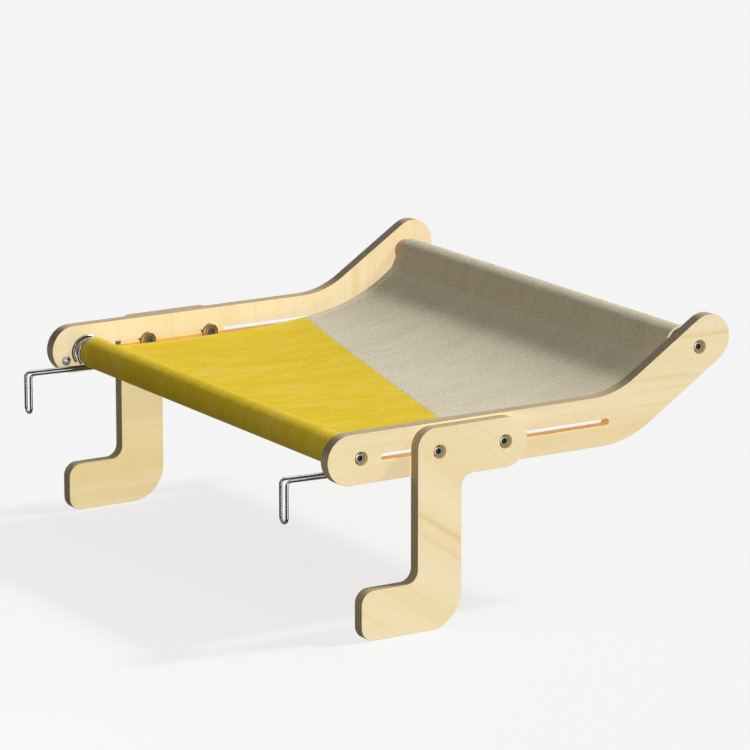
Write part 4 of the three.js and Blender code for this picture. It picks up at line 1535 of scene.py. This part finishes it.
def edge_material(wood, stem, inner):
    """Layered edge, with painted bounce light beside a panel on the brackets and painted shade where it
    slants on the panels.
    """
    material, tree, surface = new_material(stem + " ply edge")
    inputs = {
        "Light": wood.ply_light,
        "Dark": wood.ply_dark,
        "Glue": wood.glue,
        # Painted bounce light beside the panel, on the brackets only.
        "Warm": wood.painted_bounce_edge,
        "Warm Width": wood.painted_bounce_width if "bracket" in stem else 0,
        "Normal": add_node(tree, "TexCoord").outputs["Normal"],
        # Painted shade on the panels' slanting edges.
        "Slope Shade": wood.slope_shade if "panel" in stem else 0,
    }
    connect(tree, surface, ply_layers(tree, wood, inner, inputs), "ply edge")
    return material


def wall_material(wood, name, inner, warm, glow):
    """Cut wall of a slot or a bolt's hole, painted with bounce light: a bright tone and a painted glow."""
    material, tree, surface = new_material(name)
    inputs = {"Light": warm, "Dark": warm * wood.wall_dark, "Glue": warm * wood.wall_glue}
    outputs = ply_layers(tree, wood, inner, inputs)
    connect(tree, surface, outputs, "cut wall")
    # Painted glow in the wall's own colour.
    set_input(tree, surface.inputs["Emission Color"], outputs["Color"])
    set_input(tree, surface.inputs["Emission Strength"], glow)
    return material


def plywood_materials(context, stem, inner, grain):
    """The finishes of one plywood piece, in the order of PLYWOOD_FINISHES."""
    wood = context.scene.catbed_wood
    return [
        veneer_material(wood, stem, *grain),
        edge_material(wood, stem, inner),
        wall_material(wood, stem + " slot wall", inner, wood.slot_wall_painted_bounce, wood.slot_painted_glow),
        wall_material(wood, stem + " bore wall", inner, wood.bore_wall_painted_bounce, wood.bore_painted_glow),
    ]


def dowel_material(context):
    wood = context.scene.catbed_wood
    material, tree, surface = new_material("dowel wood")
    vector = object_vector(tree, rotation=(0, 0, math.pi / 2))
    inputs = {"Vector": vector, "Face": wood.dowel, "Line": wood.dowel_line}
    inputs.update({"Band": wood.dowel * wood.dowel_band, "Contrast": wood.dowel_contrast})
    connect(tree, surface, use_group(tree, grain_group(), inputs), "dowel")
    return material


def cloth_material(context, hue):
    """Woven cloth on the sheet's own UV map, in metres."""
    cloth = context.scene.catbed_cloth
    material, tree, surface = new_material(hue + " cloth")
    inputs = {
        "Vector": add_node(tree, "UVMap", uv_map="cloth").outputs["UV"],
        "Thread": cloth.weave,
        "Body": getattr(cloth, hue),
        "Pale": getattr(cloth, hue + "_light"),
        "Deep": getattr(cloth, hue + "_deep"),
        "Cloud": getattr(cloth, hue + "_clouds"),
    }
    connect(tree, surface, use_group(tree, weave_group(), inputs), "cloth")
    return material


def thread_material(context, hue):
    """Twisted sewing thread in the colour of its cloth."""
    cloth = context.scene.catbed_cloth
    material, tree, surface = new_material(hue + " thread")
    twist = noise_value(tree, add_node(tree, "TexCoord").outputs["Object"], "thread twist")
    body, light = getattr(cloth, hue), getattr(cloth, hue + "_light")
    tone = mixed(tree, masked(tree, twist, "thread twist"), body, light)
    set_input(tree, surface.inputs["Base Color"], tone)
    set_input(tree, surface.inputs["Roughness"], masked(tree, twist, "thread roughness"))
    return material


# Dark, middle and bright colour of a plating, share of pale tops and of warm sides, range of roughness. The
# middle and bright colours, the pale tops and the warm sides are painted reflections and highlights.
PLATINGS = {
    "wire": ("chrome", "chrome_painted_reflection", "painted_glint", 0.8, 0, (0.16, 0.3)),
    "bolt": ("chrome_soft", "chrome_painted_reflection", "warm", 0, 1, (0.16, 0.3)),
    "screw": ("chrome_soft", "chrome_painted_reflection", "painted_glint", 0.6, 0, (0.12, 0.26)),
    # The socket is painted dark: painted shade in the hex recess.
    "socket": ("chrome", "chrome", "chrome", 0, 0, (0.4, 0.55)),
    "zinc": ("zinc", "zinc", "zinc", 0, 0.3, (0.28, 0.42)),
    "nut": ("nut", "nut_painted_reflection", "nut_painted_reflection", 0.8, 0.3, (0.34, 0.5)),
}


def metal_material(context, kind):
    """Plated steel, made once for each kind in PLATINGS, its colour painted with reflections and highlights
    by the way each face points.
    """
    name = kind + " plating"
    found = bpy.data.materials.get(name)
    if found:
        return found
    steel = context.scene.catbed_hardware
    material, tree, surface = new_material(name)
    *names, tops, sides, roughness = PLATINGS[kind]
    dark, mid, bright = (getattr(steel, shade) for shade in names)
    coordinates = add_node(tree, "TexCoord").outputs
    # The sides take a painted reflection of wood.
    inputs = {"Normal": coordinates["Normal"], "Dark": dark, "Mid": mid, "Bright": bright, "Side": steel.warm}
    inputs.update({"Tops": tops, "Sides": sides})
    tone = use_group(tree, painted_reflections_group(), inputs)["Color"]
    smudge = noise_value(tree, coordinates["Object"], "metal smudges")
    outputs = {
        "Color": mixed(tree, masked(tree, smudge, "metal smudges"), tone, dark),
        "Roughness": ranged(tree, smudge, *MASKS["metal roughness"], *roughness),
        "Height": noise_value(tree, coordinates["Object"], "metal scratches"),
    }
    connect(tree, surface, outputs, "metal")
    set_input(tree, surface.inputs["Metallic"], 1)
    return material


# Stage

# Place of the camera in metres, and its dip below level and turn from +Y in degrees.
CAMERA_PLACE = (-2.19495, -3.79869, 1.09522)
CAMERA_DIP, CAMERA_TURN = 13.447619, -31.989662
SENSOR_WIDTH = 36  # millimetres
FAR_CLIP = 100  # metres

# Place of the near lamp in metres, and the directions of the soft lights as seen from the object.
LAMP_PLACE = (-0.6, -0.45, 0.3)
TOWARDS_TOP = (0.1, 0, 1)
TOWARDS_FRONT, TOWARDS_BACK = (0.15, -0.987, 0), (0.15, 0.987, 0)
FLOOR_ROUGHNESS = 0.9


def seen_directly(tree):
    """1 for rays from the camera, off metal or through glass, 0 for light that falls on the object."""
    path = add_node(tree, "LightPath").outputs
    seen = plus(tree, path["Is Camera Ray"], path["Is Glossy Ray"], clamp=True)
    return plus(tree, seen, path["Is Transmission Ray"], clamp=True)


def add_sun(scene, name, strength, towards, width, shadow):
    """A distant light that stands in a direction seen from the object."""
    lamp = bpy.data.lights.new(name, "SUN")
    lamp.energy = strength
    lamp.angle = width
    lamp.use_shadow = shadow
    light = bpy.data.objects.new(name, lamp)
    light.rotation_euler = Vector(towards).to_track_quat("Z", "Y").to_euler()
    scene.collection.objects.link(light)


def add_floor(stage):
    """A wide floor that lights the object gently and looks as pale as the surroundings."""
    bm = bmesh.new()
    place = Matrix.Translation((0, 0, CAD_BOX[0][2] - stage.floor_gap))
    bmesh.ops.create_grid(bm, x_segments=1, y_segments=1, size=stage.floor_size / 2, matrix=place)
    material, tree, surface = new_material("floor")
    seen = seen_directly(tree)
    set_input(tree, surface.inputs["Base Color"], mixed(tree, seen, stage.bounce, stage.floor))
    set_input(tree, surface.inputs["Roughness"], FLOOR_ROUGHNESS)
    set_input(tree, surface.inputs["Specular IOR Level"], 0)
    glow = add_node(tree, "Emission", {"Color": stage.floor, "Strength": 1})
    share_seen = times(tree, seen, stage.floor_glow)
    blend = add_node(tree, "MixShader", {0: share_seen, 1: surface.outputs[0], 2: glow.outputs[0]})
    target = next(n for n in tree.nodes if n.type == "OUTPUT_MATERIAL")
    set_input(tree, target.inputs["Surface"], blend.outputs[0])
    finish_mesh("floor", as_mesh(bm, closed=False), [material])


def add_surroundings(scene, stage):
    world = bpy.data.worlds.new("surroundings")
    scene.world = world
    world.use_nodes = True
    tree = world.node_tree
    background = next(n for n in tree.nodes if n.type == "BACKGROUND")
    tone = mixed(tree, seen_directly(tree), stage.sky, stage.floor)
    set_input(tree, background.inputs["Color"], tone)
    set_input(tree, background.inputs["Strength"], 1)


def add_lights(scene, stage):
    """The main light behind, soft light from above and on both sides, and a lamp near the front right."""
    level = math.cos(stage.main_rise)
    main = (level * math.cos(stage.main_turn), -level * math.sin(stage.main_turn), math.sin(stage.main_rise))
    add_sun(scene, "main light", stage.main, main, stage.main_width, True)
    add_sun(scene, "top light", stage.top, TOWARDS_TOP, stage.top_width, True)
    add_sun(scene, "front fill", stage.front_fill, TOWARDS_FRONT, stage.fill_width, False)
    add_sun(scene, "back fill", stage.back_fill, TOWARDS_BACK, stage.fill_width, False)
    lamp = bpy.data.lights.new("near lamp", "POINT")
    lamp.energy = stage.lamp
    lamp.shadow_soft_size = stage.lamp_size
    light = bpy.data.objects.new("near lamp", lamp)
    light.location = LAMP_PLACE
    light.visible_camera = False
    scene.collection.objects.link(light)


def add_camera(scene, stage):
    view = bpy.data.cameras.new("camera")
    view.lens = stage.lens
    view.sensor_width = SENSOR_WIDTH
    view.clip_end = FAR_CLIP
    camera = bpy.data.objects.new("camera", view)
    camera.location = CAMERA_PLACE
    camera.rotation_euler = (math.radians(90 - CAMERA_DIP), 0, math.radians(CAMERA_TURN))
    scene.collection.objects.link(camera)
    scene.camera = camera


class CATBED_OT_stage(bpy.types.Operator):
    """Set the pale floor, the soft light and the camera"""

    bl_idname = "catbed.stage"
    bl_label = "Stage"

    def execute(self, context):
        stage = context.scene.catbed_stage
        add_floor(stage)
        add_surroundings(context.scene, stage)
        add_lights(context.scene, stage)
        add_camera(context.scene, stage)
        context.scene.view_settings.view_transform = "Standard"
        return {"FINISHED"}


class VIEW3D_PT_catbed(bpy.types.Panel):
    """Buttons for each piece of the cat bed"""

    bl_label = "Hanging Cat Bed"
    bl_idname = "VIEW3D_PT_catbed"
    bl_space_type = "VIEW_3D"
    bl_region_type = "UI"
    bl_category = "Cat Bed"

    def draw(self, context):
        for operator in OPERATORS:
            self.layout.operator(operator.bl_idname)


OPERATORS = (
    CATBED_OT_stage,
    CATBED_OT_side_panels,
    CATBED_OT_brackets,
    CATBED_OT_dowels,
    CATBED_OT_dowel_fasteners,
    CATBED_OT_bracket_fasteners,
    CATBED_OT_stop_screws,
    CATBED_OT_hooks,
    CATBED_OT_cloths,
)
SETTINGS = {
    "catbed_wood": WoodSettings,
    "catbed_hardware": HardwareSettings,
    "catbed_cloth": ClothSettings,
    "catbed_stage": StageSettings,
}


def register():
    for group in SETTINGS.values():
        bpy.utils.register_class(group)
    for operator in OPERATORS:
        bpy.utils.register_class(operator)
    bpy.utils.register_class(VIEW3D_PT_catbed)
    for name, group in SETTINGS.items():
        setattr(bpy.types.Scene, name, PointerProperty(type=group))


def unregister():
    for name in SETTINGS:
        delattr(bpy.types.Scene, name)
    bpy.utils.unregister_class(VIEW3D_PT_catbed)
    for operator in reversed(OPERATORS):
        bpy.utils.unregister_class(operator)
    for group in reversed(SETTINGS.values()):
        bpy.utils.unregister_class(group)


def main():
    register()
    for operator in OPERATORS:
        family, call = operator.bl_idname.split(".")
        getattr(getattr(bpy.ops, family), call)()
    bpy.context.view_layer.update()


if __name__ == "__main__":
    main()
